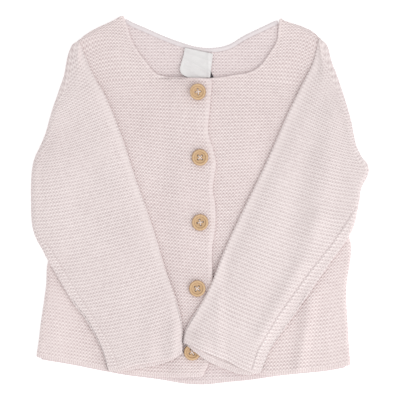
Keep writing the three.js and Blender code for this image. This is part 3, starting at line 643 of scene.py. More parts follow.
def roll_at(shoulder, side, x, y):
    """How far the cloth rolls down at the shoulder and the side."""
    neck = min(shoulder, key=lambda row: abs(row[0]))
    past_neck = ease(*ROLL_PAST_NECK, np.hypot(x - neck[0], y - neck[1]))
    at_shoulder = past_neck * (1 - ease(0, ROLL_REACH, distance(shoulder, x, y))) ** 2
    at_side = (1 - ease(0, ROLL_REACH, distance(side, x, y))) ** 2 * (1 - ease(*ROLL_SIDE_FADE, y))
    return ROLL_DROP * np.maximum(at_shoulder, at_side)


def placket_lift(x):
    return PLACKET_LIFT * ease(*PLACKET_RISE, x)


def front_right_mid(x, y):
    height = FRONT_MID + placket_lift(x) + folds_at(FOLDS_FRONT_RIGHT, x, y)
    return height - roll_at(SHOULDER_RIGHT, SIDE_RIGHT, x, y)


def front_left_mid(x, y):
    height = FRONT_MID + folds_at(FOLDS_FRONT_LEFT, x, y)
    return height - roll_at(SHOULDER_LEFT, SIDE_LEFT, x, y)


print("placket lifted by", float(placket_lift(0.0)), "mm")

# %% Rows between two edges
SEAM_SLIT = 0.5
ROW_BOW = 0.055
BOW_RISE = 106, 126
NECK_LEVELS = 100, 117
DROOP = 7.0
DROOP_RISE = 45, 100
DROOP_FADE = 128, 152
FRONT_RIM = 1.0
FRONT_WIDTH = 140
TOP_SHORT = 0.6
ROWS_CROSS = 50
HEM_FADE = 75
CLIMB_FADE = 38, 101
OPENING_TONE, OPENING_FADE = 0.75, (3.0, 4.6)
NECK_TONE, NECK_FADE = 0.6, (1.6, 2.8)
CAST_ON_TONE, CAST_ON_FADE = 0.8, (2.2, 3.4)
FRONT_RIPPLE = 0.16


def levels_at(spots, middle, slope_at):
    """The level of each place: the height at which the row through it crosses the middle."""
    tries = np.linspace(-180, 180, 721)
    rows = tries[:, None] + slope_at(tries)[:, None] * (spots[None, :, 0] - middle)
    return np.array([np.interp(y, rows[:, k], tries) for k, y in enumerate(spots[:, 1])])


def edge_at(middle, slope_at, *lines):
    """The place on an edge at each level, from the smooth lines that follow each other up it."""
    spots = np.vstack([line(np.linspace(0, 1, 400)) for line in lines])
    levels = levels_at(spots, middle, slope_at)
    return lambda at: looked_up(at, levels, spots)


def rows_between(left, right, hem, low, top, on_left):
    """Rows from a left edge to a right edge. The first follows the hem, and the sag fades above it. Over
    the neck corner the rows bow upwards with the shoulder, and at the armhole they droop."""
    def place(across, along):
        across, along = np.asarray(across), np.asarray(along)
        level = mixed(low, top, along)
        share = across[None, :, None]
        chord = (1 - share) * hem(0.0) + share * hem(1.0)
        sag = (hem(across)[None] - chord) * ((1 - along) ** 3)[:, None, None]
        droop = DROOP * ease(*DROOP_RISE, level) * (1 - ease(*DROOP_FADE, level))
        starts = left(level - droop * on_left)[:, None]
        ends = right(level - droop * (not on_left))[:, None]
        spots = (1 - share) * starts + share * ends + sag
        outer = 1 - across if on_left else across
        spots[..., 1] += droop[:, None] * (outer - outer ** 4)
        bow = ROW_BOW * (ends - starts)[..., 0] * ease(*BOW_RISE, level)[:, None]
        spots[..., 1] += bow * 4 * across * (1 - across)
        return spots

    return place


def spaced(length, step, ends=(0.35, 0.8)):
    """Even shares of a length, with a few more near both ends."""
    extra = np.array(ends) / length
    even = np.linspace(0, 1, max(2, round(length / step)) + 1)
    return np.unique(np.concatenate([even, extra, 1 - extra]))


def cast_on(hem, x, y):
    """The mask of the cast on row along a hem."""
    return CAST_ON_TONE * (1 - ease(*CAST_ON_FADE, distance(hem, x, y)))


def knit_rows(ridges, stitch, lean):
    """Counts stitches from the middle of the garment and ridges from the hem."""
    return lambda x, y, along: ((x + lean * y) / stitch, np.zeros_like(x) + along[:, None] * ridges)


def front_edges(lines, on_left):
    """The middle of each edge's rim, with shared corners. Ends are counted from the left or the right,
    as the front lies."""
    outer_end, inner_end, inward = (0, -1, -1) if on_left else (-1, 0, 1)
    side, armhole, shoulder, hem, opening, neck = lines
    side, armhole = moved(side, inward * FRONT_RIM), moved(armhole, inward * (SEAM_SLIT + FRONT_RIM))
    shoulder, hem = moved(shoulder, -FRONT_RIM), moved(hem, FRONT_RIM)
    opening, neck = moved(opening, -inward * FRONT_RIM), moved(neck, -FRONT_RIM)
    hem[0, 0] += FRONT_RIM
    hem[-1, 0] -= FRONT_RIM
    side[-1], side[0], opening[0] = armhole[0], hem[outer_end], hem[inner_end]
    armhole[-1], shoulder[inner_end] = shoulder[outer_end], neck[outer_end]
    opening[-1] = neck[inner_end]
    return (side, armhole, shoulder), hem, (opening, neck), neck[outer_end, 1] - TOP_SHORT


def front(name, lines, mid, on_left, seed, climb, stitch, lean):
    outer_rows, hem_rows, inner_rows, top = front_edges(lines, on_left)
    hem_line = through(hem_rows)
    first, last = hem_line(0.0), hem_line(1.0)
    hem_climb = (last[1] - first[1]) / (last[0] - first[0])
    middle = -ROWS_CROSS if on_left else ROWS_CROSS
    low = first[1] - hem_climb * (first[0] - middle)

    def slope_at(level):
        raised = mixed(hem_climb, climb, ease(low, low + HEM_FADE, level))
        return mixed(raised, 0, ease(*CLIMB_FADE, level))

    outer = edge_at(middle, slope_at, *map(through, outer_rows))
    inner = edge_at(middle, slope_at, *map(through, inner_rows))
    place = rows_between(*((outer, inner) if on_left else (inner, outer)), hem_line, low, top, on_left)
    ridges = round((top - low) / RIDGE)
    across = spaced(FRONT_WIDTH, COLUMN)
    along = np.linspace(0, 1, ridges * ROWS_PER_RIDGE + 1)
    level = mixed(low, top, along)
    at_neck = (level > NECK_LEVELS[0]) & (level < NECK_LEVELS[1])
    few = np.unique(np.concatenate([along[::8], along[at_neck], along[-3:]]))
    hem, opening, neck = lines[3:]

    def bands(x, y):
        strip = OPENING_TONE * (1 - ease(*OPENING_FADE, distance(opening, x, y)))
        strip = np.maximum(strip, NECK_TONE * (1 - ease(*NECK_FADE, distance(neck, x, y))))
        tick = cast_on(hem, x, y)
        return strip * (1 - tick), tick

    return cloth(
        name, place, lambda x, y: mid(x, y) + FRONT_RIPPLE * ripple(x, y, 34, seed),
        knit_rows(ridges, stitch, lean), bands, (across, along),
        (np.linspace(0, 1, 40), few), front_wool, rim=FRONT_RIM,
    )


front_right = front(
    "Front_right",
    (SIDE_RIGHT, ARMHOLE_RIGHT, SHOULDER_RIGHT, HEM_FRONT_RIGHT, OPENING_RIGHT, NECK_RIGHT),
    front_right_mid, on_left=True, seed=0.4, climb=-0.15, stitch=2.6, lean=0.06,
)
front_left = front(
    "Front_left",
    (SIDE_LEFT, ARMHOLE_LEFT, SHOULDER_LEFT, HEM_FRONT_LEFT, OPENING_LEFT, NECK_LEFT),
    front_left_mid, on_left=False, seed=1.9, climb=0.077, stitch=2.76, lean=-0.08,
)
settle(front_right, "knit", "front_right", "neckband_right")
settle(front_left, "knit", "front_left", "neckband_left")

# %% [markdown]
# ## The back
# The back lies flat on the table under everything. From above it shows at the neck and along the hem,
# and from below it is the whole garment, so its lower skin is the fine one.

# %% The back
BACK_INSET = 5.4
BACK_NECK_INSET = 4.7
BACK_CORNER = 2.6
BACK_SIDE_SHARE, BACK_FIRST_SHARE, BACK_NECK_SHARE = 0.5, 0.22, 0.72
HEM_LEVEL = -150
HEM_SAG, SAG_HALF, SAG_FADE = 12, 140, (-150, -40)
BACK_WIDTH, BACK_LENGTH = 262, 290
TOP_ROWS = np.concatenate([
    [0, 0.004, 0.012, 0.02], np.linspace(0.05, 0.8, 16), np.linspace(0.82, 1, 92),
])
HEM_BACK = [
    (-134.0, -135.6), (-107.1, -140.3), (-86.7, -144.3), (-66.3, -148.2), (-45.9, -150.9),
    (-25.5, -153.9), (-12.0, -156.2), (5.1, -156.7), (25.5, -154.5), (45.9, -152.5), (66.3, -149.4),
    (86.7, -147.2), (107.1, -145.2), (122.6, -142.4),
]
NECK_BACK = [
    (-63.0, 154.2), (-57.8, 151.3), (-44.2, 145.4), (-30.6, 139.4), (-17.0, 134.3), (-3.4, 130.4),
    (10.2, 129.3), (23.8, 131.9), (37.4, 139.8), (51.0, 146.4), (65.5, 153.2),
]


def patch(bottom, top, left, right):
    """A surface between four edges, as a function of the shares across and along."""
    corners = bottom(0.0), bottom(1.0), top(0.0), top(1.0)

    def place(across, along):
        s, t = np.asarray(across)[None, :, None], np.asarray(along)[:, None, None]
        spots = bottom(across)[None] * (1 - t) + top(across)[None] * t
        spots = spots + left(along)[:, None] * (1 - s) + right(along)[:, None] * s
        spots = spots - corners[0] * (1 - s) * (1 - t) - corners[1] * s * (1 - t)
        return spots - corners[2] * (1 - s) * t - corners[3] * s * t

    return place


def joined(first, second, share):
    def line(part):
        part = np.asarray(part, float)
        early = (part < share)[..., None]
        return np.where(early, first(part / share), second((part - share) / (1 - share)))
    return line


def back_place():
    neck, hem = moved(NECK_BACK, -BACK_NECK_INSET), moved(HEM_BACK, FRONT_RIM)
    right, left = moved(SHOULDER_RIGHT, -BACK_INSET), moved(SHOULDER_LEFT, -BACK_INSET)
    ends = right[0] + (BACK_CORNER, 0), left[-1] - (BACK_CORNER, 0)
    sides = []
    for side, armhole, inward, hem_end, top in (
        (SIDE_RIGHT, ARMHOLE_RIGHT, -1, hem[0], ends[0]), (SIDE_LEFT, ARMHOLE_LEFT, 1, hem[-1], ends[1]),
    ):
        armhole = moved(armhole, inward * (SEAM_SLIT + FRONT_RIM))
        armhole[-1] = top
        side = [hem_end, *moved(side, inward * BACK_INSET)[1:-1], armhole[0]]
        sides.append(joined(through(side), through(armhole), BACK_SIDE_SHARE))
    first, last = through([ends[0], *right[1:-1], neck[0]]), through([neck[-1], *left[1:-1], ends[1]])
    top = joined(first, joined(through(neck), last, BACK_NECK_SHARE), BACK_FIRST_SHARE)
    return patch(through(hem), top, *sides)


def back_knit(x, y, along):
    sag = HEM_SAG * (1 - (x / SAG_HALF) ** 2) * (1 - ease(*SAG_FADE, y))
    return x / STITCH, (y - HEM_LEVEL + sag) / RIDGE


back = cloth(
    "Back", back_place(), lambda x, y: np.full(np.shape(x), HALF), back_knit,
    lambda x, y: (np.zeros_like(x), cast_on(HEM_BACK, x, y)),
    (spaced(BACK_WIDTH, 1.5), spaced(BACK_LENGTH, 0.78)), (spaced(BACK_WIDTH, 1.7), TOP_ROWS),
    back_wool, up=-1,
)
settle(back, "knit", "back")

# %% [markdown]
# ## Sleeves
# A sleeve is a tube of cloth pressed flat. It runs out from the armhole on the table, turns back over
# itself at the side, and lies over the front down to the cuff. Cut level, it looks like a C: two walls
# under, a round fold, two walls over. The sleeve is built from such cuts, one behind the other, along
# the ridges of its own knitting, which run a little uphill towards the fold.

# %% Sleeve measures
TUBE_HALF = CLOTH + AIR / 2
FOLD_RADIUS = 2.75
REST_AIR = 0.55
FOLD_END = 0.07
FOLD_END_SHARE = 0.5
SLIT = 0.15
SEAM_WIDE = 0.9
SEAM_WRIGGLE = 0.35
SEAM_PROUD, SEAM_BEAD = 0.4, 0.25
SEAM_GROOVE = 1.6
GROOVE_WIDE = 0.62
GROOVE_EVEN, GROOVE_BEAD = 0.65, 0.35
BUTTON_THICK = 2.8
BUTTON_RADIUS = 7.0
LOW_BUTTON = -6.6, -128.8
BESIDE_OPENING = 14, 24

SLEEVE_RIGHT = {
    "fold": [
        (-102.9, 135.4), (-105.8, 133.8), (-108.3, 131.9), (-110.8, 127.1), (-112.9, 119.8),
        (-115.3, 106.7), (-118.5, 96.5), (-125.5, 76.1), (-131.4, 55.7), (-135.7, 45.5), (-140.4, 35.3),
        (-142.6, 25.1), (-143.3, 12.8), (-143.3, -3.4), (-143.0, -15.3), (-141.4, -25.9),
        (-138.2, -34.4), (-133.8, -42.0), (-130.6, -48.4),
    ],
    "inner": [
        (-100.0, 129.4), (-98.4, 125.0), (-95.6, 118.6), (-89.6, 105.1), (-80.4, 88.8), (-67.0, 56.4),
        (-55.1, 20.4), (-39.9, -22.9), (-28.0, -62.0), (-20.4, -83.0), (-15.2, -104.0), (-14.6, -128.6),
    ],
    "outer": [(-123.0, -61.5), (-105.7, -90.5), (-98.4, -99.5), (-83.3, -127.1), (-77.9, -144.4)],
    "cuff": [
        (-14.6, -128.6), (-22.4, -133.9), (-35.9, -138.8), (-52.9, -141.8), (-69.0, -144.9),
        (-77.9, -144.4),
    ],
    "underarm": [(-127.6, 2.5), (-128.6, -20.0), (-128.2, -40.0)],
    "seam": [
        (-133.5, -36.0), (-127.5, -42.5), (-118.0, -58.6), (-103.7, -81.6), (-88.4, -105.4),
        (-78.2, -122.4), (-71.0, -141.0),
    ],
    "side": -1, "groove": 0.5, "pull": 3.4, "gape": 0.8, "climb": 9.0, "fan": 17.0,
    "ridge": 2.9, "lean": 0.30, "stitch": 2.48,
}
SLEEVE_LEFT = {
    "fold": [
        (101.6, 137.2), (104.6, 134.9), (107.6, 131.9), (109.5, 127.1), (112.0, 116.9), (116.0, 106.7),
        (122.8, 86.3), (128.6, 65.9), (130.5, 55.7), (133.0, 45.5), (137.7, 36.1), (142.1, 30.6),
        (143.3, 25.1), (141.9, 19.7), (136.8, 9.8), (135.4, 0.0), (133.3, -10.2), (131.3, -19.6),
        (128.7, -26.8),
    ],
    "inner": [
        (98.9, 128.4), (97.9, 124.5), (95.9, 117.0), (90.9, 106.7), (75.6, 76.3), (60.7, 42.5),
        (51.0, 21.3), (40.4, 0.0), (32.3, -17.0), (24.2, -34.0), (17.0, -51.0), (10.6, -68.0),
        (2.1, -85.0), (-8.5, -102.0), (-12.8, -111.0), (-14.0, -118.6),
    ],
    "outer": [
        (122.7, -36.5), (109.0, -55.4), (94.6, -76.5), (77.5, -101.2), (60.4, -125.6), (51.5, -145.2),
    ],
    "cuff": [
        (-13.9, -119.6), (-1.1, -130.0), (8.6, -136.5), (19.6, -141.3), (28.8, -145.3), (36.5, -147.0),
        (45.7, -147.6), (51.8, -145.3),
    ],
    "underarm": [(126.8, 4.2), (127.4, -8.0), (126.8, -20.0)],
    "seam": [
        (133.5, -7.0), (113.7, -37.2), (92.4, -63.8), (68.0, -97.8), (50.5, -127.0), (45.5, -143.0),
    ],
    "side": 1, "groove": 1.0, "pull": 7.6, "gape": 2.4, "climb": 8.5, "fan": 17.0,
    "ridge": 3.02, "lean": 0.40, "stitch": 2.4,
}
FOLDS_SLEEVE_RIGHT = [
    (-126, 40, -120, -30, 14, 1.4), (-93, 84, -72, 10, 12, 1.2), (-78, -40, -56, -118, 13, 1.0),
    (-22, -108, -22, -130, 5, 1.6), (-40, -96, -43, -136, 7, 1.3),
]
FOLDS_SLEEVE_LEFT = [
    (111, 66, 99, -16, 11, 2.7), (99, -16, 89, -48, 9, 2.5), (92, 40, 74, -22, 9, -1.0),
    (62, -22, 22, -104, 15, 1.4), (83, -58, 52, -114, 7, 2.6),
]


def rest_right(x, y):
    return FRONT_TOP + placket_lift(x + 5) + folds_at(FOLDS_FRONT_RIGHT, x, y)


def rest_left(x, y):
    over_opening = PLACKET_LIFT * (1 - ease(*BESIDE_OPENING, x))
    near = np.hypot(x - LOW_BUTTON[0], y - LOW_BUTTON[1])
    over_button = (BUTTON_THICK + AIR) * (1 - ease(BUTTON_RADIUS + 2, BUTTON_RADIUS + 13, near))
    return FRONT_TOP + over_opening + over_button + folds_at(FOLDS_FRONT_LEFT, x, y)


# %% Lines of a sleeve
LINE_STEPS = 900
EVENED = 20
LEAVE_FOLD = 12
NEAR_INSET = 0.045


def sleeve_lines(table, armhole):
    """Facts along the two axes that every cut runs between. The far axis follows the inside of the fold
    and then the outer edge: its place, the way out of it, its distance from the edge, the place under
    the arm, and how far it has left the fold. The near axis follows the inner edge: its place, the way
    out, and the share of the tube's half width that it keeps from the edge."""
    side = table["side"]
    share = np.linspace(0, 1, LINE_STEPS)
    fold = through(table["fold"])(share)
    outer = through([table["fold"][-1], *table["outer"]])(share[1:])
    edge = np.vstack([fold, outer])
    on_fold = np.concatenate([share, np.ones(len(outer))])
    past = np.cumsum(np.hypot(*np.diff(edge, axis=0)[LINE_STEPS - 1:].T))
    past_fold = np.concatenate([np.zeros(LINE_STEPS), past])
    window = np.ones(2 * EVENED + 1) / (2 * EVENED + 1)
    run = [np.pad(part, EVENED, "edge") for part in np.gradient(edge, axis=0).T]
    run = np.stack([np.convolve(part, window, "valid") for part in run], axis=1)
    outward = side * leftward(run)
    slim = mixed(FOLD_END_SHARE, 1, ease(0, FOLD_END, np.minimum(on_fold, 1 - on_fold)))
    leave = ease(0, LEAVE_FOLD, past_fold)
    reach = mixed((FOLD_RADIUS + TUBE_HALF) * slim, TUBE_HALF, leave)
    axis = edge - outward * reach[:, None]
    arm = through([*armhole[::-1], *table["underarm"][1:], tuple(axis[LINE_STEPS - 1])])(on_fold)
    arm = np.where((past_fold > 0)[:, None], axis, arm)
    near_edge = through([tuple(axis[0]), *table["inner"]])(share)
    near_out = -side * leftward(np.gradient(near_edge, axis=0))
    near_in = ease(0, NEAR_INSET, share)
    near_axis = near_edge - near_out * (TUBE_HALF * near_in)[:, None]
    return (np.column_stack([axis, outward, reach, arm, leave]),
            np.column_stack([near_axis, near_out, near_in]))


def levels_of(facts, table):
    """How far up the sleeve the places of an axis are, counted square to the ridges."""
    climb = radians(table["climb"])
    return facts[:, 1] * cos(climb) + table["side"] * facts[:, 0] * sin(climb)


# %% Cuts through a sleeve
ACROSS = np.linspace(0, 1, 93)
TOP_CLEAR = 0.2
FAN_RISE = 0.58, 0.93
FAN_FADE = 0.91, 1.0
MOUTH_DEEP = 0.12
PINCH = 0.4
PINCH_WIDE = 15.0
SEWN_PINCH = 0.3
SEWN_FROM = 0.86, 0.97
TIP_DROP, NEAR_TIP_DROP = 3.4, 1.2
TIP_REACH = 0.84, 1.0
UNDER_STEPS = 7
FOLD_SWEEP = np.radians([158, 136, 116, 98, 82, 68, 54, 40, 26, 12])
CAP_TURNS = np.radians([20, 45, 70, 90, 112, 138, 162])
ON_TOP = slice(0, len(ACROSS))
ON_CAP = slice(len(ACROSS), len(ACROSS) + len(CAP_TURNS))
ON_FOLD = slice(-len(FOLD_SWEEP), None)


def walls(table, lines, along, push):
    """Places of the upper and the lower wall on each cut, from the far axis to the near one. The rows
    fan out towards the shoulder, follow the cuff at the other end, and part where the cuff gapes."""
    ends = []
    fan = table["fan"] * ease(*FAN_RISE, along) * (1 - ease(*FAN_FADE, along))
    for facts, fanned in zip(lines, (fan, 0)):
        levels = levels_of(facts, table)
        at = mixed(levels[-1], levels.max() - TOP_CLEAR, along) - fanned
        ends.append(looked_up(at, levels, facts))
    far, near = ends
    start, s = far[:, :2], ACROSS[None, :, None]
    row = near[:, :2] - start
    span = np.hypot(*row.T)[:, None]
    at_cuff = (1 - along[:, None]) ** 6
    chord = (1 - s) * lines[0][-1, :2] + s * lines[1][-1, :2]
    sag = (through(table["cuff"][::-1])(ACROSS)[None] - chord) * at_cuff[..., None]
    spots = start[:, None] + s * row[:, None] + sag
    spots[..., 1] -= np.tan(radians(table["climb"])) * span * ACROSS * (1 - ACROSS) ** 2 * (1 - at_cuff)
    down = leftward(row)
    down *= np.where(down[:, 1] > 0, -1, 1)[:, None]
    mouth = (1 - ease(0, MOUTH_DEEP, along))[:, None] * np.sin(pi * ACROSS)
    pushed = down[:, None] * push[:, None, None]
    low = spots + pushed
    return low - down[:, None] * mouth[..., None] * table["pull"], low, mouth, pushed, far, near, span


def rings(table, lines, height_at, along, thick, push):
    """Points round each cut: over the upper wall, round the near edge and back under it, in under the
    fold to the arm and out again on the table, and up round the fold. thick is half of the tube's depth,
    and push moves a cut out of the cuff. The way out of the fold comes along."""
    top, low, mouth, pushed, far, near, span = walls(table, lines, along, push)
    start, out, wide, arm, left_fold = far[:, :2], far[:, 2:4], far[:, 4], far[:, 5:7], far[:, 7]
    reach_in = np.minimum(PINCH_WIDE, span * 0.45)
    near_pinch = (PINCH + SEWN_PINCH * ease(*SEWN_FROM, along))[:, None]
    slim = 1 - near_pinch * (1 - ease(0, 1, (1 - ACROSS) * span / reach_in))
    slim = slim * (1 - PINCH * left_fold[:, None] * (1 - ease(0, 1, ACROSS * span / reach_in)))
    tip_drop = mixed(TIP_DROP, NEAR_TIP_DROP, ACROSS) * ease(*TIP_REACH, along)[:, None]
    lowered = TUBE_HALF * (1 - slim) + tip_drop
    top_mid = height_at(top[..., 0], top[..., 1]) + mouth * table["gape"] - lowered
    low_mid = height_at(low[..., 0], low[..., 1]) - lowered
    t = thick[:, None] * slim

    turned = 1 - left_fold
    bend_radius = (top_mid[:, 0] - TUBE_HALF) / 2 * turned
    centre = top_mid[:, 0] - bend_radius
    flat = bend_radius + t[:, 0]
    floor = centre - flat
    low_far = centre - np.maximum(bend_radius - thick, 0.05 * turned)
    roof = np.where(left_fold < 0.999, low_far, top_mid[:, 0] - t[:, 0])
    inner_top = mixed(np.minimum(roof, floor + 2 * thick), floor, left_fold)

    def level_part(spots, height):
        return np.dstack([spots, np.broadcast_to(height[:, None], spots.shape[:2])])

    cap_out = (thick[:, None] * near[:, 4:] * np.sin(CAP_TURNS))[..., None]
    cap = near[:, None, :2] + near[:, None, 2:4] * cap_out + pushed
    picks = np.linspace(len(ACROSS) - 1, 0, UNDER_STEPS + 1).round().astype(int)
    back_in = np.linspace(0, 1, UNDER_STEPS)[None, :, None]
    lower = start[:, None] + back_in * (arm + out * turned[:, None] - start)[:, None] + pushed
    fold_out = wide * (bend_radius + thick) / np.maximum(bend_radius + TUBE_HALF, 1e-6)
    fold = start[:, None] + out[:, None] * (fold_out[:, None] * np.sin(FOLD_SWEEP))[..., None] + pushed
    return np.concatenate([
        np.dstack([top, top_mid + t]),
        np.dstack([cap, top_mid[:, -1:] + t[:, -1:] * np.cos(CAP_TURNS)]),
        np.dstack([low[:, picks], low_mid[:, picks] - t[:, picks]]),
        level_part(lower, inner_top),
        level_part(arm[:, None] + pushed, (inner_top + floor) / 2),
        level_part(lower[:, ::-1], floor),
        np.dstack([fold, centre[:, None] + flat[:, None] * np.cos(FOLD_SWEEP)]),
    ], axis=1), out


# %% Knitting of the sleeves
REST_FROM = 5, 19
FOLDS_FROM = 5, 15
SLEEVE_RIPPLE = 0.2
STRIP_TONE = 0.7
STRIP_FADE = 3.5, 8.5
CUFF_FADE = 2.2, 3.4
LINING_ROWS = [*np.linspace(1, 0.05, 40), 0.03, 0.012]
# Columns: the place along the sleeve, half of the tube's depth, the push out of the cuff
LIP = [(0, 0.35, 0.1), (0, 0.6, 0.75), (0, 1.15, 1.0), (0, 1.75, 0.7)]


def sleeve_masks(table, x, y, wave):
    """The strip along the inner edge, the cast on row of the cuff, and the seam, which is positive where
    it stands up and negative in the groove beside it."""
    seam = np.exp(-((distance(table["seam"], x + SEAM_WRIGGLE * wave, y) / SEAM_WIDE) ** 2))
    groove = distance(moved(table["seam"], -table["side"] * SEAM_GROOVE), x, y)
    sunk = table["groove"] * (GROOVE_EVEN + GROOVE_BEAD * wave) * np.exp(-((groove / GROOVE_WIDE) ** 2))
    shown = np.zeros(x.shape[1])
    shown[ON_TOP] = shown[ON_FOLD] = 1
    strip = STRIP_TONE * (1 - ease(*STRIP_FADE, distance(table["inner"], x, y))) * shown
    tick = 1 - ease(*CUFF_FADE, distance(table["cuff"], x, y))
    return strip, tick, np.where(sunk > seam, -sunk, seam) * shown


def sleeve(name, table, armhole, rest, folds, material, seed):
    def height_at(x, y):
        away = distance(table["fold"], x, y)
        resting = rest(x, y) + REST_AIR + TUBE_HALF
        body = mixed(TUBE_HALF + 2 * FOLD_RADIUS, resting, ease(*REST_FROM, away))
        folded = folds_at(folds, x, y) * ease(*FOLDS_FROM, away)
        return body + folded + SLEEVE_RIPPLE * ripple(x, y, 38, seed)

    lines = sleeve_lines(table, armhole)
    ridges = round(np.ptp(levels_of(lines[0], table)) / table["ridge"])
    along, thick, push = np.array([
        *((at, TUBE_HALF, 0) for at in np.linspace(0, 1, ridges * ROWS_PER_RIDGE + 1)),
        *((at, SLIT, 0) for at in LINING_ROWS), *LIP,
    ]).T
    ring, out = rings(table, lines, height_at, along, thick, push)

    x, y = ring[..., 0], ring[..., 1]
    none = np.zeros_like(x)
    lean = np.arctan(table["lean"])
    stitches = (x * cos(lean) - table["side"] * y * sin(lean)) / table["stitch"]
    up = none + along[:, None] * ridges
    # Painted shade on the cap round the inner edge and on the fold, where the tube turns down, carried in
    # knit's third part.
    shade = np.zeros(ring.shape[1])
    shade[ON_CAP], shade[ON_FOLD] = 0.5 * np.sin(CAP_TURNS) ** 3, np.sin(FOLD_SWEEP) ** 4
    wave = np.cos(2 * pi * up)
    strip, tick, seam = sleeve_masks(table, x, y, wave)
    relief = ridge_height(up) * (1 - np.clip(strip + tick + np.abs(seam) * 0.7, 0, 1))
    relief = (relief + seam * (SEAM_PROUD + SEAM_BEAD * wave)) * (thick == TUBE_HALF)[:, None]
    lift = np.zeros_like(ring)
    lift[:, ON_TOP, 2], lift[:, ON_FOLD, 2] = 1, np.cos(FOLD_SWEEP)
    lift[:, ON_FOLD, :2] = out[:, None] * np.sin(FOLD_SWEEP)[:, None]
    index = numbered(ring.shape)
    return make_piece(
        name, ring + lift * relief[..., None], tube(np.vstack([index, index[:1]])), material,
        knit=np.dstack([stitches, up, none + shade]), bands=np.dstack([strip * (1 - tick), tick, seam]),
    )


sleeve_right = sleeve(
    "Sleeve_right", SLEEVE_RIGHT, ARMHOLE_RIGHT, rest_right, FOLDS_SLEEVE_RIGHT, right_wool, seed=0.9,
)
sleeve_left = sleeve(
    "Sleeve_left", SLEEVE_LEFT, ARMHOLE_LEFT, rest_left, FOLDS_SLEEVE_LEFT, left_wool, seed=2.2,
)
settle(sleeve_right, "knit", "sleeve_right")
settle(sleeve_left, "knit", "sleeve_left")

# %% [markdown]
# ## Neck cord
# The back of the neck is finished with one narrow row of knitting that was picked up along the edge.
# It is a flattened cord with its own small loops. The fronts end in the smooth edge that they have.

# %% Neck cord
CORD_WIDE, CORD_THICK = 4.2, 2.0
CORD_SIDES = 20
CORD_STEP = 0.4
CORD_LOOP = 2.6
CORD_SMOOTH = 0.8
CORD_TAPER, CORD_TAPER_LONG = 0.45, 0.7
CORD_RIPPLE = 0.07
SQUARED_OFF = 0.8


def rounded(values):
    """Cosines or sines that follow a circle squared off a little."""
    return np.sign(values) * np.abs(values) ** SQUARED_OFF


def neck_cord(name, rows, height, material):
    line = through(moved(rows, -CORD_WIDE / 2))
    length = np.hypot(*np.diff(line(np.linspace(0, 1, 200)), axis=0).T).sum()
    share = np.linspace(0, 1, round(length / CORD_STEP))
    along = share * length
    turn = 2 * pi * (np.arange(CORD_SIDES) + 0.5) / CORD_SIDES
    from_end = np.minimum(along, length - along)
    ends = 1 - CORD_TAPER * np.exp(-((from_end / CORD_TAPER_LONG) ** 2))[:, None]
    loops = 1 + CORD_RIPPLE * np.cos(2 * pi * along / CORD_LOOP)[:, None] * np.cos(turn)
    across = CORD_WIDE / 2 * rounded(np.cos(turn)) * loops * ends
    spots = line(share)
    flat = spots[:, None] + leftward(np.gradient(spots, axis=0))[:, None] * across[..., None]
    points = np.dstack([flat, height + CORD_THICK / 2 * rounded(np.sin(turn)) * ends])
    index = numbered(points.shape)
    none = np.zeros_like(across)
    return make_piece(
        name, points, [*tube(index), index[0].tolist(), index[-1].tolist()], material,
        knit=np.dstack([none + along[:, None] / CORD_LOOP, across / RIDGE, none]),
        bands=np.dstack([none + CORD_SMOOTH, none, none]),
    )


cord = neck_cord("Neckband_back", NECK_BACK, HALF, edge_wool)
settle(cord, "edging", "neckband_back")

# %% [markdown]
# ## Label and tab
# A bare satin label hangs from the back of the neck, creased once and curled at its lower left. A dark
# tab shows below it at two corners. Both are woven, with threads far finer than the knitting.

# %% Woven finishes
THREADS = 1400
WEAVE_TONE, CLOUD_TONE = 0.35, 0.65


def woven(name, light, dark, threads, rough):
    made, start = start_material(name)
    place = start.node("ShaderNodeTexCoord", {}, {}, "Object")
    across = (place.part(0) * (2 * pi * threads)).cosine()
    along = (place.part(1) * (2 * pi * threads)).cosine()
    weave = across * along * 0.5 + 0.5
    tone = place.noise(160, 2)
    surface(start, {
        "Base Color": (weave * WEAVE_TONE + tone * CLOUD_TONE).held().tint(dark, light),
        "Roughness": rough + tone * 0.2,
        "Sheen Weight": 0.15,
        "Normal": (weave * 0.5 + place.noise(700, 2) * 0.5).bump(0.00012, 0.6),
    })
    return made


label_satin = woven("White satin", srgb(238, 236, 235), srgb(214, 211, 211), THREADS, rough=0.38)
tab_satin = woven("Dark satin", srgb(70, 60, 66), srgb(38, 32, 36), THREADS, rough=0.5)

# %% Label and tab
TAG_SIZE = 23
LABEL_THICK = 0.5
TAB_THICK = 0.4
LABEL_EDGES = {
    "top": [(-12.6, 128.9), (-1.0, 126.4), (10.8, 123.9)],
    "bottom": [
        (-16.9, 111.4), (-16.0, 108.0), (-13.4, 105.6), (-9.8, 104.3), (-5.0, 103.8), (8.4, 104.1),
    ],
    "left": [(-16.9, 111.4), (-15.6, 116.5), (-13.9, 122.0), (-12.6, 128.9)],
    "right": [(8.4, 104.1), (9.4, 113.5), (10.8, 123.9)],
}
TAB_EDGES = {
    "top": [(-9.5, 114.5), (0.0, 113.8), (8.2, 113.0)],
    "bottom": [
        (-12.6, 103.3), (-9.0, 103.8), (-6.0, 104.4), (6.5, 104.6), (8.8, 104.0), (11.8, 103.6),
    ],
    "left": [(-12.6, 103.3), (-10.3, 109.0), (-9.5, 114.5)],
    "right": [(11.8, 103.6), (9.6, 107.8), (8.2, 113.0)],
}
LABEL_FOLDS = [
    (-16, 121, 9, 107.5, 1.5, 1.0), (-15, 126, 8, 117.5, 1.2, 0.55), (-18.5, 113, -11, 103.5, 3.0, 1.1),
    (7.0, 124, 7.6, 104, 1.3, 0.5), (-12, 113, 0, 106, 1.6, 0.6),
]


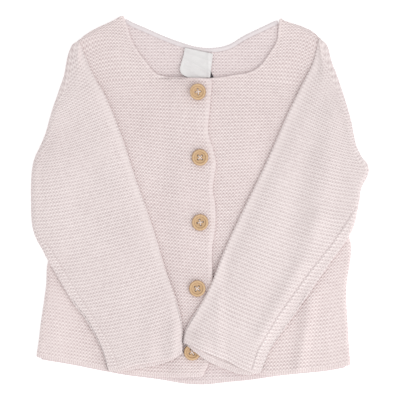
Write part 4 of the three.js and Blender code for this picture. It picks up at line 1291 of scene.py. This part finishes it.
def tag(name, edges, base, folds, thick, material):
    def bare(x, y, along=None):
        return np.zeros_like(x), np.zeros_like(x)

    shares = spaced(TAG_SIZE, 0.4, (0.12, 0.3))
    few = np.linspace(0, 1, 20)
    return cloth(
        name, patch(*(through(edges[k]) for k in ("bottom", "top", "left", "right"))),
        lambda x, y: base + thick / 2 + folds_at(folds, x, y), bare, bare,
        (shares, shares), (few, few), material, rim=thick / 2, relief=False, thick=thick,
    )


on_back = CLOTH + AIR
label = tag("Label", LABEL_EDGES, on_back + TAB_THICK + AIR, LABEL_FOLDS, LABEL_THICK, label_satin)
tab = tag("Size_tab", TAB_EDGES, on_back, [], TAB_THICK, tab_satin)
settle(label, "label", "label")
settle(tab, "tab", "size_tab")

# %% [markdown]
# ## Wooden buttons
# A turned button has a raised rim, a groove and a shallow dish with four holes. Its outline is spun
# into a disc, the holes are cut out of it, and the sharp edges that are left catch the light. Thread
# crosses from hole to hole.

# %% Wood and thread
GROOVE_RADIUS = 4.75
GROOVE_WIDTH = 0.6
DISH_TONE = 2.6
RIM_TONE = 6.3
YEAR_RINGS = 2400
# Painted shade on the button: the dish round the holes, the groove and the outer rim are darkened towards
# the deepest colour.
DISH_SHADE, WOOD_GROOVE_SHADE, RIM_SHADE = 0.35, 0.7, 0.75
RING_TONE, STREAK_TONE = 0.5, 0.6
WOOD_ROUGH, STREAK_ROUGH = 0.42, 0.25


def wood_look(name, light, dark, shaded_wood):
    made, start = start_material(name)
    grain = attribute(start, "grain")
    bent = grain.noise(90, 2) * 1.6
    rings = ((grain.part(1) * YEAR_RINGS + bent * 5).cosine() * 0.5 + 0.5) * 0.5
    radius = grain.part(2) * 1000
    groove = (((radius - GROOVE_RADIUS) * (1 / GROOVE_WIDTH)).size() * -1 + 1).held()
    dish, rim = 1 - ((radius - DISH_TONE) * 0.5).held(), ((radius - RIM_TONE) * 1.6).held()
    # Painted shade in the dish, in the groove and on the rim's outer edge.
    wood_shade = dish * DISH_SHADE + groove * WOOD_GROOVE_SHADE + rim * RIM_SHADE
    stretched = grain.node("ShaderNodeMapping", {}, {"Vector": grain, "Scale": (1, 9, 9)}, "Vector")
    streaks = stretched.noise(420, 3, 0.6)
    shade = (rings * RING_TONE + streaks * STREAK_TONE).held()
    surface(start, {
        "Base Color": wood_shade.tint(shade.tint(dark, light), shaded_wood),
        "Roughness": WOOD_ROUGH + streaks * STREAK_ROUGH,
        "Specular IOR Level": 0.4,
        "Normal": streaks.bump(0.00008, 0.5),
    })
    return made


wood = wood_look("Turned wood", srgb(228, 200, 162), srgb(198, 160, 118), srgb(160, 120, 84))

thread_look, start = start_material("Sewing thread")
twist = attribute(start, "grain")
ply = ((twist.part(0) * 9000 + twist.part(1) * 5000).cosine() * 0.5 + 0.5)
surface(start, {
    "Base Color": ply.tint(srgb(236, 218, 212), srgb(252, 242, 238)),
    "Roughness": 0.8,
    "Normal": ply.bump(0.0001),
})

# %% Buttons
HOLE_RADIUS = 0.85
HOLE_SPACING = 3.3
BUTTON_SEGMENTS = 96
HOLE_SEGMENTS = 28
THREAD_RADIUS = 0.38
THREAD_SIDES = 12
THREAD_LOW, THREAD_RISE, THREAD_ARCH, THREAD_END = 0.15, 0.62, 0.55, -0.5
THREAD_TWIST = 1.4
SHARP_ANGLE = 50

# Columns: x, y, turn of the holes in degrees, tip in degrees, lift over the front
BUTTONS = [
    (-1.8, 91.5, 8, 15, 1.9),
    (0.0, 36.0, 45, 0, 0),
    (0.1, -19.0, 12, 0, 0),
    (-2.3, -74.9, 52, -3, 0.4),
    (-6.6, -128.8, 30, 0, 0),
]
BUTTON_OUTLINE = [
    (0.0, -1.4), (5.4, -1.4), (6.2, -1.2), (6.75, -0.75), (6.95, -0.2), (7.0, 0.25), (6.9, 0.7),
    (6.6, 1.1), (6.15, 1.34), (5.6, 1.4), (5.15, 1.3), (4.85, 1.05), (4.6, 0.78), (4.25, 0.62),
    (3.7, 0.56), (2.6, 0.52), (1.2, 0.5), (0.0, 0.5),
]


def ring_of(radius, sides):
    turn = 2 * pi * np.arange(sides) / sides
    return [(radius * cos(a), radius * sin(a)) for a in turn]


def spun(outline, segments):
    """An outline of radius and height turned round the upright axis."""
    smooth = through(outline)(np.linspace(0, 1, 56))
    points = [(0, 0, smooth[0, 1])]
    points += [(*spot, h) for r, h in smooth[1:-1] for spot in ring_of(r, segments)]
    points.append((0, 0, smooth[-1, 1]))
    index = numbered((len(smooth) - 2, segments), 1)
    faces = [(0, n, k) for k, n in zip(index[0], np.roll(index[0], -1))]
    faces += tube(index)
    faces += [(k, n, len(points) - 1) for k, n in zip(index[-1], np.roll(index[-1], -1))]
    return points, faces


def hole_places(turn):
    corners = radians(turn) + np.arange(4) * pi / 2
    return HOLE_SPACING / 2 ** 0.5 * np.column_stack([np.cos(corners), np.sin(corners)])


def cut_holes(points, faces, turn):
    """The disc with its four holes cut by a boolean, as new points and faces."""
    pins, pin_faces = [], []
    for x, y in hole_places(turn):
        index = numbered((2, HOLE_SEGMENTS), len(pins))
        pins += [(x + a, y + b, h) for h in (-3, 3) for a, b in ring_of(HOLE_RADIUS, HOLE_SEGMENTS)]
        pin_faces += [index[0, ::-1].tolist(), index[1].tolist(), *tube(index)]
    solids = []
    for name, spots, shapes in (("disc", points, faces), ("drill", pins, pin_faces)):
        mesh = bpy.data.meshes.new(name)
        mesh.from_pydata(spots, [], shapes)
        solids.append(placed(name, mesh))
    body, pin = solids
    cut = body.modifiers.new("holes", "BOOLEAN")
    cut.operation, cut.solver, cut.object = "DIFFERENCE", "EXACT", pin
    made = body.evaluated_get(bpy.context.evaluated_depsgraph_get()).to_mesh()
    spots = np.array([v.co for v in made.vertices])
    shapes = [tuple(face.vertices) for face in made.polygons]
    for solid in solids:
        bpy.data.objects.remove(solid)
    return spots, shapes


def seated(points, row):
    """Points of a button turned and moved from its own middle to its place on the front."""
    x, y, _, tip, lift = row
    seat = FRONT_TOP + float(placket_lift(x)) + AIR + BUTTON_THICK / 2 + lift
    across, up = points[..., 0], points[..., 2]
    c, s = cos(radians(tip)), sin(radians(tip))
    return np.stack([across * c + up * s + x, points[..., 1] + y, up * c - across * s + seat], axis=-1)


def strand(first, last, rise):
    """A tube of thread from hole to hole, round the dish and down at both ends."""
    share = np.linspace(0, 1, 22)
    height = THREAD_LOW + (THREAD_RISE + rise) * np.sin(pi * share) ** THREAD_ARCH
    height[[0, -1]] = THREAD_END
    line = np.column_stack([mixed(first, last, share[:, None]), height])
    run = np.gradient(line, axis=0)
    run /= np.linalg.norm(run, axis=1)[:, None]
    sideways = np.cross(run, (0, 0, 1.0))
    sideways /= np.linalg.norm(sideways, axis=1)[:, None]
    upward = np.cross(sideways, run)
    turn = (2 * pi * np.arange(THREAD_SIDES) / THREAD_SIDES)[None, :, None]
    out = sideways[:, None] * np.cos(turn) + upward[:, None] * np.sin(turn)
    ring = line[:, None] + THREAD_RADIUS * out
    none = np.zeros(ring.shape[:2])
    along = (share * HOLE_SPACING * THREAD_TWIST)[:, None]
    return ring, np.dstack([none + along, none + turn[..., 0], none])


button_pieces = []
for number, row in enumerate(BUTTONS, 1):
    spots, shapes = cut_holes(*spun(BUTTON_OUTLINE, BUTTON_SEGMENTS), row[2])
    disc = make_piece(f"Button_{number}", seated(spots, row), shapes, wood)
    local = np.array([v.co for v in disc.data.vertices]) - np.array(disc.data.vertices[0].co)
    spin = radians(row[2] * 3 + 20 * number)
    add_layer(disc.data, "grain", np.column_stack([
        local[:, 0] * cos(spin) - local[:, 1] * sin(spin) + number,
        local[:, 0] * sin(spin) + local[:, 1] * cos(spin), np.hypot(local[:, 0], local[:, 1]),
    ]))
    disc.data.set_sharp_from_angle(angle=radians(SHARP_ANGLE))
    settle(disc, "button", f"button_{number}")
    holes = hole_places(row[2])
    strands = strand(holes[0], holes[2], 0.0), strand(holes[1], holes[3], 0.4)
    faces = []
    for k, (ring, _) in enumerate(strands):
        index = numbered(ring.shape, k * ring.shape[0] * THREAD_SIDES)
        faces += [*tube(index), index[0].tolist(), index[-1].tolist()]
    rings, grains = (np.vstack(parts) for parts in zip(*strands))
    grain = grains.reshape(-1, 3) * TO_METRES
    thread = make_piece(f"Thread_{number}", seated(rings, row), faces, thread_look, grain=grain)
    settle(thread, "edging")
    button_pieces += [disc, thread]
